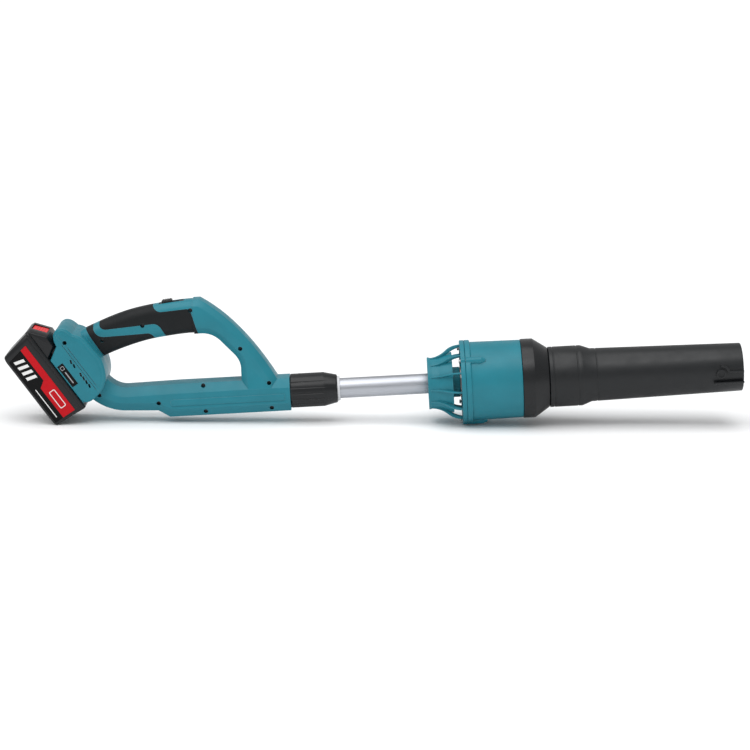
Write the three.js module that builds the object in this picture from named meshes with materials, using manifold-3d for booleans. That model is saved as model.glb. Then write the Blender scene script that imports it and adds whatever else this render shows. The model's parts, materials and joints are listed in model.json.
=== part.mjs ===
// Cordless stick leaf blower: battery pack, D-handle, telescoping tube, axial fan and bayonet nozzle.
//
// Everything is drawn in the tool's own frame, in millimetres: +X runs along the tube towards the
// nozzle, the tube's axis is y = z = 0, and x = 0 is the handle's front face. The battery pack has a
// frame of its own, with X along the pack and Z from its base to its rails. At the end the whole tool
// is pitched until it lies on the pack's rear edge and the fan's flange, as it does on a table.
import * as THREE from 'three';
import { mergeVertices } from 'three/addons/utils/BufferGeometryUtils.js';
import Module from 'manifold-3d';

const wasm = await Module();
wasm.setup();

// ---- Driving dimensions -----------------------------------------------------------------------
const GAP = 0.3; // clearance between faces that touch
const ROUND_SIDES = 36; // facets round a large turned piece
const WALL = 3.2; // handle shell wall

const TUBE_R = 14;
const TUBE_WALL = 1.5;
const TUBE_BACK_X = -105; // end of the tube inside the beam
const BORE_R = 14.8; // the tube slides in this bore
const BORE_BACK_X = -176; // as far as the tube's bush can slide in

const GRIP_HALF = 18;
const STRUT_HALF = 18.5; // at its top
const STRUT_TOP_Z = 137.8;
const STRUT_WIDENING = 0.00175; // share of its width gained for each millimetre down
const BEAM_HALF = 23;
const BEAM_TOP_Z = 21.5;
const BEAM_BOTTOM_Z = -24.5;
const FOOT_HALF = 37;
const SHOULDER_HALF = 38.5;
const SHOULDER_W = 82; // the foot is wider from here up, in the pack's frame

const COLLAR_LENGTH = 65.5;
const COLLAR_R = 23.7;
const SPIGOT_R = 18.6;
const SPIGOT_LENGTH = 40;

const GUARD_X = 191.4; // guard's rear face
const FLANGE_X = 237.3; // guard flange, then the housing flange
const FLANGE_R = 57.6;
const HOUSING_X = 251;
const HOUSING_END_X = 321.5;
const DUCT_R = 51.8; // inside of the fan housing
const BOSS_ANGLES = [43, 133, 223, 283]; // degrees above the right-hand side
const BOSS_CENTRE_R = 54.4;
const CONE_SPIGOT_R = 39.3;
const NOZZLE_X = 359.3;
const NOZZLE_END_X = 626.4;
const BAYONET_TURN = 25; // degrees from locked to free

const BLADE_COUNT = 7;
const VANE_COUNT = 7;
const FIN_COUNT = 12;

const PACK_ORIGIN = new THREE.Vector3(-392, 0, 77); // rear lower end of the pack, on the tool's frame
const PACK_TILT = THREE.MathUtils.degToRad(57);
const CASE_HALF = 38;
const CASE_HEIGHT = 45.6;
const CASE_WALL = 2.4;
const CELL_R = 9.2;
const CELL_PITCH = 18.3;
const CELL_LENGTH = 65;

const SWITCH_CENTRE = new THREE.Vector3(-156.5, 0, 135.4);
const SWITCH_TILT = THREE.MathUtils.degToRad(-5.5);

// Screw holes in the right-hand shell: x, z and how far the head's seat is from the middle.
const SHELL_SCREWS = [
  [-303.6, 92, 22],
  [-263.7, 12.7, 10],
  [-254.3, 89, 9],
  [-197.4, 106.4, 9],
  [-130.2, 124.1, 9],
  [-64.8, 67.2, 9],
  [-28, 17.3, 9],
  [-119.5, 17.5, 9],
  [-182.4, -3.1, 10],
  [-118.2, -18.4, 9],
  [-26.5, -18.4, 9],
];

// ---- Materials --------------------------------------------------------------------------------
function finish(color, roughness, metalness = 0) {
  return new THREE.MeshStandardMaterial({ color, roughness, metalness });
}

const FINISH = {
  teal: finish(0x2f7f8c, 0.45),
  grip: finish(0x2a2d30, 0.8),
  black: finish(0x2b2d31, 0.5),
  aluminium: finish(0xc4c6ca, 0.3, 0.9),
  steel: finish(0x8d9196, 0.35, 0.9),
  blackSteel: finish(0x1d1e20, 0.45, 0.8),
  red: finish(0xd8232a, 0.4),
  label: finish(0x141416, 0.35),
  copper: finish(0xb87f4a, 0.35, 0.9),
  green: finish(0x1e6a42, 0.5),
  cell: finish(0x3a78b5, 0.4),
  wire: finish(0x202124, 0.6),
  white: finish(0xd9dadb, 0.5),
};

// ---- Solids -----------------------------------------------------------------------------------
function wholeTriangles(index) {
  const kept = [];
  for (let i = 0; i < index.length; i += 3) {
    const [a, b, c] = index.slice(i, i + 3);
    if (a !== b && b !== c && c !== a) {
      kept.push(a, b, c);
    }
  }
  return Uint32Array.from(kept);
}

function signedVolume(points, triangles) {
  const corner = [new THREE.Vector3(), new THREE.Vector3(), new THREE.Vector3()];
  let volume = 0;
  for (let i = 0; i < triangles.length; i += 3) {
    corner.forEach((point, k) => point.fromArray(points, triangles[i + k] * 3));
    volume += corner[0].dot(corner[1].cross(corner[2]));
  }
  return volume;
}

function solid(geometry) {
  const bare = geometry.clone();
  bare.deleteAttribute('normal');
  bare.deleteAttribute('uv');
  const merged = mergeVertices(bare, 1e-4);
  const vertProperties = new Float32Array(merged.attributes.position.array);
  const triVerts = wholeTriangles(merged.index.array);
  if (signedVolume(vertProperties, triVerts) < 0) {
    triVerts.reverse();
  }
  return new wasm.Manifold(new wasm.Mesh({ numProp: 3, vertProperties, triVerts }));
}

function surface(body) {
  const mesh = body.getMesh();
  const geometry = new THREE.BufferGeometry();
  geometry.setAttribute('position', new THREE.BufferAttribute(new Float32Array(mesh.vertProperties), 3));
  geometry.setIndex(new THREE.BufferAttribute(new Uint32Array(mesh.triVerts), 1));
  return geometry;
}

function moved(body, matrix) {
  return solid(surface(body).applyMatrix4(matrix));
}

function joined(bodies) {
  return bodies.reduce((sum, body) => sum.add(body));
}

function cutFrom(body, tools) {
  return tools.reduce((rest, tool) => rest.subtract(tool), body);
}

// Turned about the X axis from [x, radius] points, with a flat facet at the bottom.
function turned(profile, sides = ROUND_SIDES) {
  const points = profile.map(([x, r]) => new THREE.Vector2(r, x));
  if (profile[0][1] > 0 || profile.at(-1)[1] > 0) {
    points.push(points[0].clone());
  }
  const geometry = new THREE.LatheGeometry(points, sides, Math.PI / sides);
  return solid(geometry.rotateZ(-Math.PI / 2));
}

function rodX(x0, x1, radius, sides = 24) {
  return turned([[x0, 0], [x0, radius], [x1, radius], [x1, 0]], sides);
}

function tubeX(x0, x1, outer, inner, sides = ROUND_SIDES) {
  return turned([[x0, inner], [x0, outer], [x1, outer], [x1, inner]], sides);
}

function rodY(x, z, y0, y1, radius, sides = 8) {
  const geometry = new THREE.CylinderGeometry(radius, radius, y1 - y0, sides);
  return solid(geometry.translate(x, (y0 + y1) / 2, z));
}

function block(x0, x1, y0, y1, z0, z1) {
  const geometry = new THREE.BoxGeometry(x1 - x0, y1 - y0, z1 - z0);
  return solid(geometry.translate((x0 + x1) / 2, (y0 + y1) / 2, (z0 + z1) / 2));
}

// A plate with its outline in X and Z, centred on y = 0, with bevelled edges. inset shrinks it all round.
function plate(outline, half, { bevel = 0, bevelDepth = bevel, inset = 0 } = {}) {
  const depth = 2 * (half - inset - bevelDepth);
  const geometry = new THREE.ExtrudeGeometry(outline, {
    depth,
    curveSegments: 4,
    bevelSize: bevel,
    bevelThickness: bevelDepth,
    bevelOffset: -bevel - inset,
    bevelSegments: 1,
  });
  geometry.translate(0, 0, -depth / 2);
  return solid(geometry.rotateX(Math.PI / 2));
}

// A solid pushed along X, with its outline in Y and Z.
function alongX(outline, x0, x1) {
  const depth = x1 - x0;
  const geometry = new THREE.ExtrudeGeometry(outline, { depth, bevelEnabled: false, curveSegments: 4 });
  const toAxes = new THREE.Matrix4().makeBasis(
    new THREE.Vector3(0, 1, 0),
    new THREE.Vector3(0, 0, 1),
    new THREE.Vector3(1, 0, 0),
  );
  return solid(geometry.applyMatrix4(toAxes).translate(x0, 0, 0));
}

// A closed skin over rings of points, all with the same count.
function lofted(rings) {
  const count = rings[0].length;
  const positions = rings.flat().flatMap((p) => [p.x, p.y, p.z]);
  const index = [];
  for (let r = 0; r < rings.length - 1; r += 1) {
    for (let k = 0; k < count; k += 1) {
      const a = r * count + k;
      const b = r * count + ((k + 1) % count);
      index.push(a, b, b + count, a, b + count, a + count);
    }
  }
  const last = (rings.length - 1) * count;
  for (let k = 1; k < count - 1; k += 1) {
    index.push(0, k + 1, k);
    index.push(last, last + k, last + k + 1);
  }
  const geometry = new THREE.BufferGeometry();
  geometry.setAttribute('position', new THREE.Float32BufferAttribute(positions, 3));
  geometry.setIndex(index);
  return solid(geometry);
}

// Widens a body sideways in step with its depth below topZ.
function flared(body, topZ, widening) {
  const geometry = surface(body);
  const place = geometry.attributes.position;
  for (let i = 0; i < place.count; i += 1) {
    place.setY(i, place.getY(i) * (1 + widening * (topZ - place.getZ(i))));
  }
  return solid(geometry);
}

function wireAlong(points, radius, steps) {
  const path = new THREE.CatmullRomCurve3(points.map(([x, y, z]) => new THREE.Vector3(x, y, z)));
  const section = new THREE.Shape().absarc(0, 0, radius, 0, 2 * Math.PI);
  const geometry = new THREE.ExtrudeGeometry(section, { steps, extrudePath: path, curveSegments: 3 });
  return solid(geometry);
}

function outlineOf(points) {
  return new THREE.Shape(points.map(([x, z]) => new THREE.Vector2(x, z)));
}

// A wedge about the X axis between two angles, measured from the right-hand side upwards.
function wedge(x0, x1, radius, from, to) {
  const outline = new THREE.Shape();
  outline.moveTo(0, 0);
  for (const angle of [from, (from + to) / 2, to]) {
    const turn = THREE.MathUtils.degToRad(angle);
    outline.lineTo(-radius * Math.cos(turn), radius * Math.sin(turn));
  }
  return alongX(outline, x0, x1);
}

function aroundX(body, angle) {
  return moved(body, new THREE.Matrix4().makeRotationX(-THREE.MathUtils.degToRad(angle)));
}

const PACK_PLACE = new THREE.Matrix4().makeRotationY(PACK_TILT).setPosition(PACK_ORIGIN);
const SWITCH_PLACE = new THREE.Matrix4().makeRotationY(SWITCH_TILT).setPosition(SWITCH_CENTRE);

// ---- The scene graph --------------------------------------------------------------------------
const blower = new THREE.Group();
const pack = new THREE.Group();
pack.applyMatrix4(PACK_PLACE);
blower.add(pack);

function add(name, body, material, group = blower) {
  const geometry = surface(body);
  geometry.computeVertexNormals();
  const mesh = new THREE.Mesh(geometry, material);
  mesh.name = name;
  group.add(mesh);
}

// ---- Handle: outer form -----------------------------------------------------------------------
// Top and bottom of the grip's sections, from inside the foot to the front corner of the D.
const GRIP_TOP = [
  [-292, 97], [-277.6, 104.8], [-240, 119.4], [-208.3, 128.3], [-172, 134], [-141.8, 136.9], [-117.2, 137.6],
];
const GRIP_UNDER = [
  [-266, 56], [-254.2, 65], [-224, 76], [-193, 84.2], [-164, 88.4], [-136, 90.8], [-117, 90.4],
];

function gripRing(top, under, half, inset) {
  const middle = new THREE.Vector2().addVectors(top, under).multiplyScalar(0.5);
  const reach = new THREE.Vector2().subVectors(top, under);
  const height = reach.length() / 2 - inset;
  reach.normalize();
  const ring = [];
  for (let k = 0; k < 16; k += 1) {
    const angle = (2 * Math.PI * k) / 16;
    const rise = Math.sign(Math.cos(angle)) * Math.abs(Math.cos(angle)) ** 0.72 * height;
    const side = Math.sign(Math.sin(angle)) * Math.abs(Math.sin(angle)) ** 0.72 * (half - inset);
    ring.push(new THREE.Vector3(middle.x + reach.x * rise, side, middle.y + reach.y * rise));
  }
  return ring;
}

function gripForm(inset) {
  const curveThrough = (points) => new THREE.SplineCurve(points.map(([x, z]) => new THREE.Vector2(x, z)));
  const tops = curveThrough(GRIP_TOP).getPoints(8);
  const unders = curveThrough(GRIP_UNDER).getPoints(8);
  return lofted(tops.map((top, i) => gripRing(top, unders[i], GRIP_HALF, inset)));
}

function strutForm(inset) {
  const outline = new THREE.Shape();
  outline.moveTo(-160, STRUT_TOP_Z);
  outline.lineTo(-117.2, STRUT_TOP_Z);
  outline.quadraticCurveTo(-62, 103.5, -16.8, 21.4);
  outline.lineTo(-16.8, -8);
  outline.lineTo(-66, -8);
  outline.lineTo(-66, 36);
  outline.quadraticCurveTo(-64.8, 48, -73, 58);
  outline.lineTo(-91.5, 78.6);
  outline.quadraticCurveTo(-102, 90, -117, 90.4);
  outline.lineTo(-160, 90.4);
  const strut = plate(outline, STRUT_HALF, { bevel: 8.5, bevelDepth: 6, inset });
  const clearOfGrip = strut.subtract(block(-200, -127, -60, 60, 60, 160));
  return flared(clearOfGrip, STRUT_TOP_Z, STRUT_WIDENING);
}

function beamForm(inset) {
  const outline = new THREE.Shape();
  outline.moveTo(30, BEAM_BOTTOM_Z);
  outline.lineTo(-168.3, BEAM_BOTTOM_Z);
  outline.lineTo(-183.8, -14.6);
  outline.lineTo(-232.7, -12);
  outline.quadraticCurveTo(-258, -9, -277, 9);
  outline.lineTo(-283, 40);
  outline.lineTo(-252, 34);
  outline.quadraticCurveTo(-240, 20, -224.6, 20.3);
  outline.lineTo(-149.9, BEAM_TOP_Z);
  outline.lineTo(30, BEAM_TOP_Z);
  const beam = plate(outline, BEAM_HALF, { bevel: 12, bevelDepth: 8, inset });
  return beam.subtract(block(0, 60, -60, 60, -60, 60));
}

function footOutline() {
  const outline = new THREE.Shape();
  outline.moveTo(44, 50.8);
  outline.lineTo(110, 50.8);
  outline.quadraticCurveTo(121.5, 51.5, 122, 63);
  outline.quadraticCurveTo(122.5, 94, 96.4, 104.7);
  outline.lineTo(84, 109);
  outline.lineTo(54, 107);
  outline.quadraticCurveTo(39, 106, 32, 98);
  outline.quadraticCurveTo(14.6, 95, 14.6, 84);
  outline.quadraticCurveTo(15, 72, 33.1, 69.4);
  outline.lineTo(44, 50.8);
  return outline;
}

function footForm(inset) {
  const panel = plate(footOutline(), FOOT_HALF, { bevel: 3, inset });
  const shoulder = plate(footOutline(), SHOULDER_HALF, { bevel: 6, inset });
  const above = block(-20, 160, -60, 60, SHOULDER_W, 130);
  return moved(panel.add(shoulder.intersect(above)), PACK_PLACE);
}

function handleForm(inset) {
  return joined([gripForm(inset), strutForm(inset), beamForm(inset), footForm(inset)]);
}

function stripe() {
  const outline = new THREE.Shape();
  outline.moveTo(-7.7, -8);
  outline.lineTo(-161.5, -8);
  outline.absarc(-161.5, -3.5, 4.5, -Math.PI / 2, Math.PI / 2, true);
  outline.lineTo(-7.7, 1);
  return plate(outline, BEAM_HALF + 0.8);
}

// ---- Handle: holes, bosses and ribs -------------------------------------------------------------
function screwChannel([x, z, seat]) {
  const head = rodY(x, z, -60, -seat, 3.1);
  const shank = rodY(x, z, -seat - 1, seat + 0.6, 1.8, 6);
  return head.add(shank);
}

const SCREW_CHANNELS = SHELL_SCREWS.map(screwChannel);

function ribs() {
  const thickness = 2.5;
  return [-60, -95, -130, -165].map((x) => (
    block(x, x + thickness, 1 - BEAM_HALF, BEAM_HALF - 1, BEAM_BOTTOM_Z + 1, BEAM_TOP_Z - 1)
  ));
}

function packRailSlot() {
  const neck = block(-30, 107, -22, 22, 40, 56.2);
  const rails = block(-30, 107, -27, 27, 55.6, 66.4);
  return moved(neck.add(rails), PACK_PLACE);
}

function packRailLips() {
  const lips = [[-35, -20], [20, 35]].map(([y0, y1]) => block(44, 118, y0, y1, 51, 55.4));
  return moved(joined(lips), PACK_PLACE);
}

function ventSlots() {
  const slots = [62, 69, 84, 90.5, 97, 103.5].map((u) => {
    const lean = new THREE.Matrix4().makeRotationY(0.31).setPosition(u, 0, 73);
    return moved(block(-2.7, 2.7, -60, 60, -1.15, 1.15), lean);
  });
  return moved(joined(slots), PACK_PLACE);
}

// A badge is 35 by 9; margin makes the block that much larger all round. It reaches from inside the
// foot's side face to outside it, by the two depths.
function badgeBlock(side, margin, inside, outside) {
  const faces = [side * (FOOT_HALF - inside), side * (FOOT_HALF + outside)].sort((a, b) => a - b);
  return block(56.5 - margin, 91.5 + margin, ...faces, 53.4 - margin, 62.4 + margin);
}

function switchPocket() {
  return moved(block(-17.5, 17.5, -7.6, 7.6, -22, 20), SWITCH_PLACE);
}

// ---- Grip pads: their areas in side view --------------------------------------------------------
function rearPadArea() {
  const outline = new THREE.Shape();
  outline.moveTo(-283, 116);
  outline.lineTo(-267, 122);
  outline.lineTo(-265.5, 104);
  outline.quadraticCurveTo(-262, 93.6, -250, 93.6);
  outline.lineTo(-191, 95.3);
  outline.quadraticCurveTo(-186, 95, -183, 90);
  outline.lineTo(-176, 78);
  outline.lineTo(-244, 50);
  return outline;
}

function frontPadArea() {
  const outline = new THREE.Shape();
  outline.moveTo(-258.5, 124);
  outline.lineTo(-257, 109);
  outline.quadraticCurveTo(-255, 103.6, -248, 103.6);
  outline.lineTo(-182, 108);
  outline.quadraticCurveTo(-175.5, 107, -172, 101);
  outline.lineTo(-162, 80);
  outline.lineTo(-118.5, 80);
  outline.lineTo(-129.4, 121);
  outline.quadraticCurveTo(-131, 126.5, -136.5, 126.3);
  outline.lineTo(-171, 124);
  outline.quadraticCurveTo(-183, 125, -184.5, 145);
  outline.lineTo(-250, 140);
  return outline;
}

// One side of the tool, from half a gap off the middle outwards.
function sideSpace(side) {
  const faces = [side * GAP / 2, side * 80].sort((a, b) => a - b);
  return block(-500, 100, ...faces, -80, 200);
}

function padBand(outline, side, shrink) {
  return plate(outline, 50, { inset: shrink }).intersect(sideSpace(side));
}

// ---- Handle shells ------------------------------------------------------------------------------
function handleParts() {
  const outer = handleForm(0);
  const skin = handleForm(0.2);
  const core = handleForm(2);
  const padDepth = handleForm(1.7);
  const hollow = handleForm(WALL).subtract(block(-4, 60, -60, 60, -60, 60));
  const bosses = joined(SHELL_SCREWS.map(([x, z]) => rodY(x, z, -40, 40, 4.6, 6)));
  const spigot = tubeX(-2, SPIGOT_LENGTH, SPIGOT_R, BORE_R, 24);
  const inside = joined([bosses, ...ribs(), packRailLips()]).intersect(skin);
  let shell = outer.add(stripe()).subtract(hollow).add(inside);
  shell = shell.subtract(rodX(BORE_BACK_X, 60, BORE_R)).add(spigot);
  shell = cutFrom(shell, [packRailSlot(), ventSlots(), switchPocket(), ...SCREW_CHANNELS]);
  for (const side of [-1, 1]) {
    addHandleSide(side, shell, { core, outer, padDepth });
  }
}

function addHandleSide(side, shell, { core, outer, padDepth }) {
  const name = side < 0 ? 'right' : 'left';
  const areas = { rear_grip: rearPadArea(), front_grip: frontPadArea() };
  const badgeRecess = moved(badgeBlock(side, GAP, 1, 1), PACK_PLACE);
  let cover = shell.intersect(sideSpace(side)).subtract(badgeRecess);
  for (const [part, area] of Object.entries(areas)) {
    cover = cover.subtract(padBand(area, side, 0).subtract(core));
    const pad = outer.subtract(padDepth).intersect(padBand(area, side, GAP));
    add(`${name}_${part}`, cutFrom(pad, [switchPocket(), ...SCREW_CHANNELS]), FINISH.grip);
  }
  add(`${name}_shell`, cover, FINISH.teal);
  add(`${name}_badge`, badgeBlock(side, 0, 0.7, 0.2), FINISH.label, pack);
}

function addShellScrews() {
  SHELL_SCREWS.forEach(([x, z, seat], i) => {
    const head = rodY(x, z, -seat - 2.8, -seat - GAP, 2.7);
    const shank = rodY(x, z, -seat - 1, seat, 1.4, 6);
    add(`shell_screw_${i + 1}`, head.add(shank), FINISH.blackSteel);
  });
}

// ---- Inside the handle --------------------------------------------------------------------------
function addSwitch() {
  const slot = new THREE.Shape();
  slot.absarc(8.2, 0, 2.6, -Math.PI / 2, Math.PI / 2);
  slot.absarc(-8.2, 0, 2.6, Math.PI / 2, 1.5 * Math.PI);
  const flat = new THREE.Matrix4().makeRotationX(Math.PI / 2);
  const slotCut = moved(plate(slot, 10), flat);
  const cover = block(-17.2, 17.2, -7.3, 7.3, -3.2, -1).subtract(slotCut);
  add('switch_plate', moved(cover, SWITCH_PLACE), FINISH.black);

  const housing = block(-14, 14, -6.5, 6.5, -16, -3.6).subtract(block(-11, 11, -2.6, 2.6, -9, 0));
  add('slide_switch', moved(housing, SWITCH_PLACE), FINISH.black);

  const cap = block(-13.4, 1.4, -6, 6, -0.6, 3.4);
  const ridges = [-10.5, -7.5, -4.5, -1.5].map((x) => block(x - 0.7, x + 0.7, -5, 5, 3, 4.2));
  const stem = block(-9.6, -2.4, -2.1, 2.1, -8.4, 0);
  add('switch_slider', moved(joined([cap, stem, ...ridges]), SWITCH_PLACE), FINISH.black);
}

function addHandleWiring() {
  const board = block(46, 108, -18, 18, 84, 85.6);
  const parts = [block(54, 66, -8, 8, 85, 92), block(74, 82, -14, -4, 85, 90), block(88, 98, 2, 14, 85, 89)];
  add('control_board', joined([board, ...parts]), FINISH.green, pack);

  const cavities = [-9, 9].map((y) => block(100, 112.7, y - 1.2, y + 1.2, 57.2, 72));
  add('terminal_block', cutFrom(block(107.6, 115, -16, 16, 56.8, 79), cavities), FINISH.black, pack);
  for (const [name, y] of [['right', -9], ['left', 9]]) {
    add(`${name}_contact_blade`, block(88, 112.4, y - 0.6, y + 0.6, 57.8, 63), FINISH.copper, pack);
  }

  const route = [
    [-172, 0, 112], [-184, 0, 101], [-197, 0, 95.5], [-224, 0, 95], [-245, 0, 100.5], [-258, 0, 99],
    [-270, 0, 88],
  ];
  add('handle_lead', wireAlong(route, 2, 24), FINISH.wire);
}

// ---- Collar, collet and tube --------------------------------------------------------------------
function addCollar() {
  const body = turned([
    [0.4, 19.2], [0.4, COLLAR_R - 1], [1.6, COLLAR_R], [46.5, COLLAR_R], [64.4, 19.6], [COLLAR_LENGTH, 18.6],
    [COLLAR_LENGTH, 16.6], [44, 19.2],
  ]);
  const flutes = [];
  for (let angle = -130; angle <= 130; angle += 20) {
    const flute = rodX(-2, 80, 1.5, 8);
    const outwards = new THREE.Matrix4().makeTranslation(0, 0, -COLLAR_R - 0.6);
    flutes.push(aroundX(moved(flute, outwards), angle));
  }
  const thumbRecess = new THREE.Shape();
  thumbRecess.absarc(44, 0, 4.5, -Math.PI / 2, Math.PI / 2);
  thumbRecess.absarc(16, 0, 4.5, Math.PI / 2, 1.5 * Math.PI);
  const place = new THREE.Matrix4().makeRotationX(Math.PI / 2).setPosition(0, 0, 32);
  const recess = moved(plate(thumbRecess, 10), place);
  add('twist_collar', cutFrom(body, [...flutes, recess]), FINISH.black);

  const collet = turned([
    [41, 14.4], [41, 16.6], [43.6, 18.8], [65, 16.2], [65.9, 16.2], [65.9, 17.4], [69, 16.6], [69, 14.4],
  ], 24);
  const slits = [45, 135].map((angle) => aroundX(block(30, 62, -0.6, 0.6, -30, 30), angle));
  add('collet', cutFrom(collet, slits), FINISH.white);
}

function addTube() {
  add('boom_tube', tubeX(TUBE_BACK_X, 204.5, TUBE_R, TUBE_R - TUBE_WALL, 32), FINISH.aluminium);
  const bush = turned([
    [TUBE_BACK_X - 6, 8], [TUBE_BACK_X - 6, 14.3], [TUBE_BACK_X - GAP, 14.3], [TUBE_BACK_X - GAP, 12.1],
    [TUBE_BACK_X + 8, 12.1], [TUBE_BACK_X + 8, 10],
  ], 20);
  add('tube_bush', bush, FINISH.black);
  const route = [[-104, 0, 0], [-20, 0, -3], [80, 0, 3], [160, 0, -3], [198, 0, 0]];
  add('motor_lead', wireAlong(route, 2.4, 20), FINISH.wire);
}

// ---- Fan ----------------------------------------------------------------------------------------
const BOSS_PLACES = BOSS_ANGLES.map((angle) => new THREE.Matrix4().makeTranslation(
  0,
  -BOSS_CENTRE_R * Math.cos(THREE.MathUtils.degToRad(angle)),
  BOSS_CENTRE_R * Math.sin(THREE.MathUtils.degToRad(angle)),
));

function finBody(angle) {
  const outline = new THREE.Shape();
  outline.moveTo(195, 31);
  outline.lineTo(195, 36);
  outline.lineTo(206, 37.8);
  outline.lineTo(217.5, 45.5);
  outline.lineTo(226.5, 52);
  outline.lineTo(232.8, 53.2);
  outline.lineTo(240, 53.2);
  outline.lineTo(240, 50);
  outline.lineTo(214, 34.5);
  outline.lineTo(204, 31);
  return aroundX(plate(outline, 1), angle);
}

function addGuard() {
  const cup = turned([
    [GUARD_X, 14.3], [GUARD_X, 36.6], [197.4, 35], [207, 35.6], [226, 42.6], [226, 40.2],
    [208, 33.2], [194.2, 33.2], [194.2, 21], [236, 21], [236, 18.1], [205, 18.1], [205, 14.3],
  ], 24);
  const flange = tubeX(FLANGE_X, HOUSING_X - 7.4, FLANGE_R, 49.2);
  const fins = Array.from({ length: FIN_COUNT }, (_, i) => finBody((360 * i) / FIN_COUNT - 5));
  const ears = BOSS_PLACES.map((place) => moved(rodX(FLANGE_X, HOUSING_X - 7.4, 5, 10), place));
  const holes = BOSS_PLACES.map((place) => moved(rodX(220, 260, 1.8, 8), place));
  const heads = BOSS_PLACES.map((place) => moved(rodX(228, FLANGE_X, 3.1, 8), place));
  const guard = joined([cup, flange, ...fins, ...ears]);
  add('intake_guard', cutFrom(guard, [...holes, ...heads]), FINISH.teal);
}

function bossBody() {
  return turned([[HOUSING_X - 7, 0], [HOUSING_X - 7, 5.2], [265, 5.2], [271.5, 2.4], [271.5, 0]], 12);
}

function addHousing() {
  const wall = turned([
    [243.9, DUCT_R], [243.9, FLANGE_R], [HOUSING_X, FLANGE_R], [HOUSING_X, 54.7], [HOUSING_END_X, 53.9],
    [HOUSING_END_X, DUCT_R],
  ]);
  const bosses = BOSS_PLACES.map((place) => moved(bossBody(), place));
  const holes = BOSS_PLACES.map((place) => moved(rodX(230, 263, 1.8, 8), place));
  const duct = rodX(230, 340, DUCT_R, ROUND_SIDES);
  const housing = joined([wall, ...bosses]).subtract(duct);
  add('fan_housing', cutFrom(housing, holes), FINISH.teal);

  BOSS_PLACES.forEach((place, i) => {
    const screw = rodX(234.6, FLANGE_X - GAP, 2.8, 12).add(rodX(236, 262, 1.5, 8));
    add(`flange_screw_${i + 1}`, moved(screw, place), FINISH.steel);
  });
}

function addOutletCone() {
  const cone = turned([
    [313, 49.8], [313, 51.4], [HOUSING_END_X + GAP, 51.4], [HOUSING_END_X + GAP, 55], [338.3, 55],
    [358.4, 41.4], [358.9, CONE_SPIGOT_R], [401, CONE_SPIGOT_R], [402, CONE_SPIGOT_R - 1], [402, 37.2],
    [357, 37.2], [336.5, 51.6], [322, 51.6], [321, 49.8],
  ]);
  const pins = [90, 270].map((angle) => {
    const pin = rodY(385, 0, -41, -38, 2.4);
    return aroundX(pin, angle);
  });
  add('outlet_cone', joined([cone, ...pins]), FINISH.black);
}

function bladeBody(angle, { radii, chord, pitch, thickness, x }) {
  const rings = radii.map((radius, i) => {
    const turn = THREE.MathUtils.degToRad(pitch[i]);
    const along = new THREE.Vector2(Math.cos(turn), Math.sin(turn)).multiplyScalar(chord[i] / 2);
    const across = new THREE.Vector2(-Math.sin(turn), Math.cos(turn)).multiplyScalar(thickness / 2);
    const corners = [[-1, 0], [0, 1], [1, 0], [0, -1]];
    return corners.map(([a, b]) => new THREE.Vector3(
      x + along.x * a + across.x * b,
      along.y * a + across.y * b,
      radius,
    ));
  });
  return aroundX(lofted(rings), angle);
}

function addRotor() {
  const hub = turned([
    [247, 2.9], [247, 7], [258, 7], [258, 17.3], [246, 17.3], [246, 19.5], [264, 19.5], [270, 14.5],
    [272, 6.5], [272, 2.9],
  ], 20);
  const shape = {
    radii: [18, 33, 50], chord: [22, 25, 24], pitch: [40, 54, 63], thickness: 2.2, x: 256.5,
  };
  const blades = Array.from({ length: BLADE_COUNT }, (_, i) => bladeBody((360 * i) / BLADE_COUNT, shape));
  const bore = rodX(240, 280, 2.9, 10);
  const cupHollow = tubeX(240, 258, 17.3, 7, 20);
  add('impeller', cutFrom(joined([hub, ...blades]), [bore, cupHollow]), FINISH.black);
  add('motor_shaft', rodX(211, 279, 2.5, 10), FINISH.steel);
  add('impeller_nut', tubeX(272.4, 277, 5.4, 2.9, 6), FINISH.steel);
  const core = tubeX(214, 226, 13.5, 2.9, 12);
  const slots = [0, 60, 120].map((angle) => aroundX(block(210, 230, -1.4, 1.4, 9, 20), angle))
    .concat([0, 60, 120].map((angle) => aroundX(block(210, 230, -1.4, 1.4, -20, -9), angle)));
  add('armature', cutFrom(core, slots), FINISH.copper);
}

function addMotor() {
  const can = turned([
    [209.6, 15.9], [209.6, 17.8], [234, 17.8], [236, 16], [236, 8], [243.5, 8], [243.5, 3], [230.5, 3],
    [230.5, 15.9],
  ], 20);
  const screwPlaces = [-1, 1].map((side) => new THREE.Matrix4().makeTranslation(0, 12 * side, 0));
  const canHoles = screwPlaces.map((place) => moved(rodX(229, 250, 1.5, 10), place));
  add('motor_can', cutFrom(can, canHoles), FINISH.steel);

  const endcap = turned([[205.4, 0], [205.4, 17.6], [209.3, 17.6], [209.3, 0]], 20);
  const leadHole = rodX(200, 212, 5, 12);
  add('motor_endcap', endcap.subtract(leadHole), FINISH.black);

  const retainer = tubeX(236.4, 238.8, 21, 8.4, 20);
  const plateHoles = screwPlaces.map((place) => moved(rodX(229, 250, 1.5, 10), place));
  add('motor_plate', cutFrom(retainer, plateHoles), FINISH.steel);
  screwPlaces.forEach((place, i) => {
    const screw = rodX(239.1, 241, 2.5, 10).add(rodX(232, 240, 1.2, 8));
    add(`motor_screw_${i + 1}`, moved(screw, place), FINISH.blackSteel);
  });
}

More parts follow.
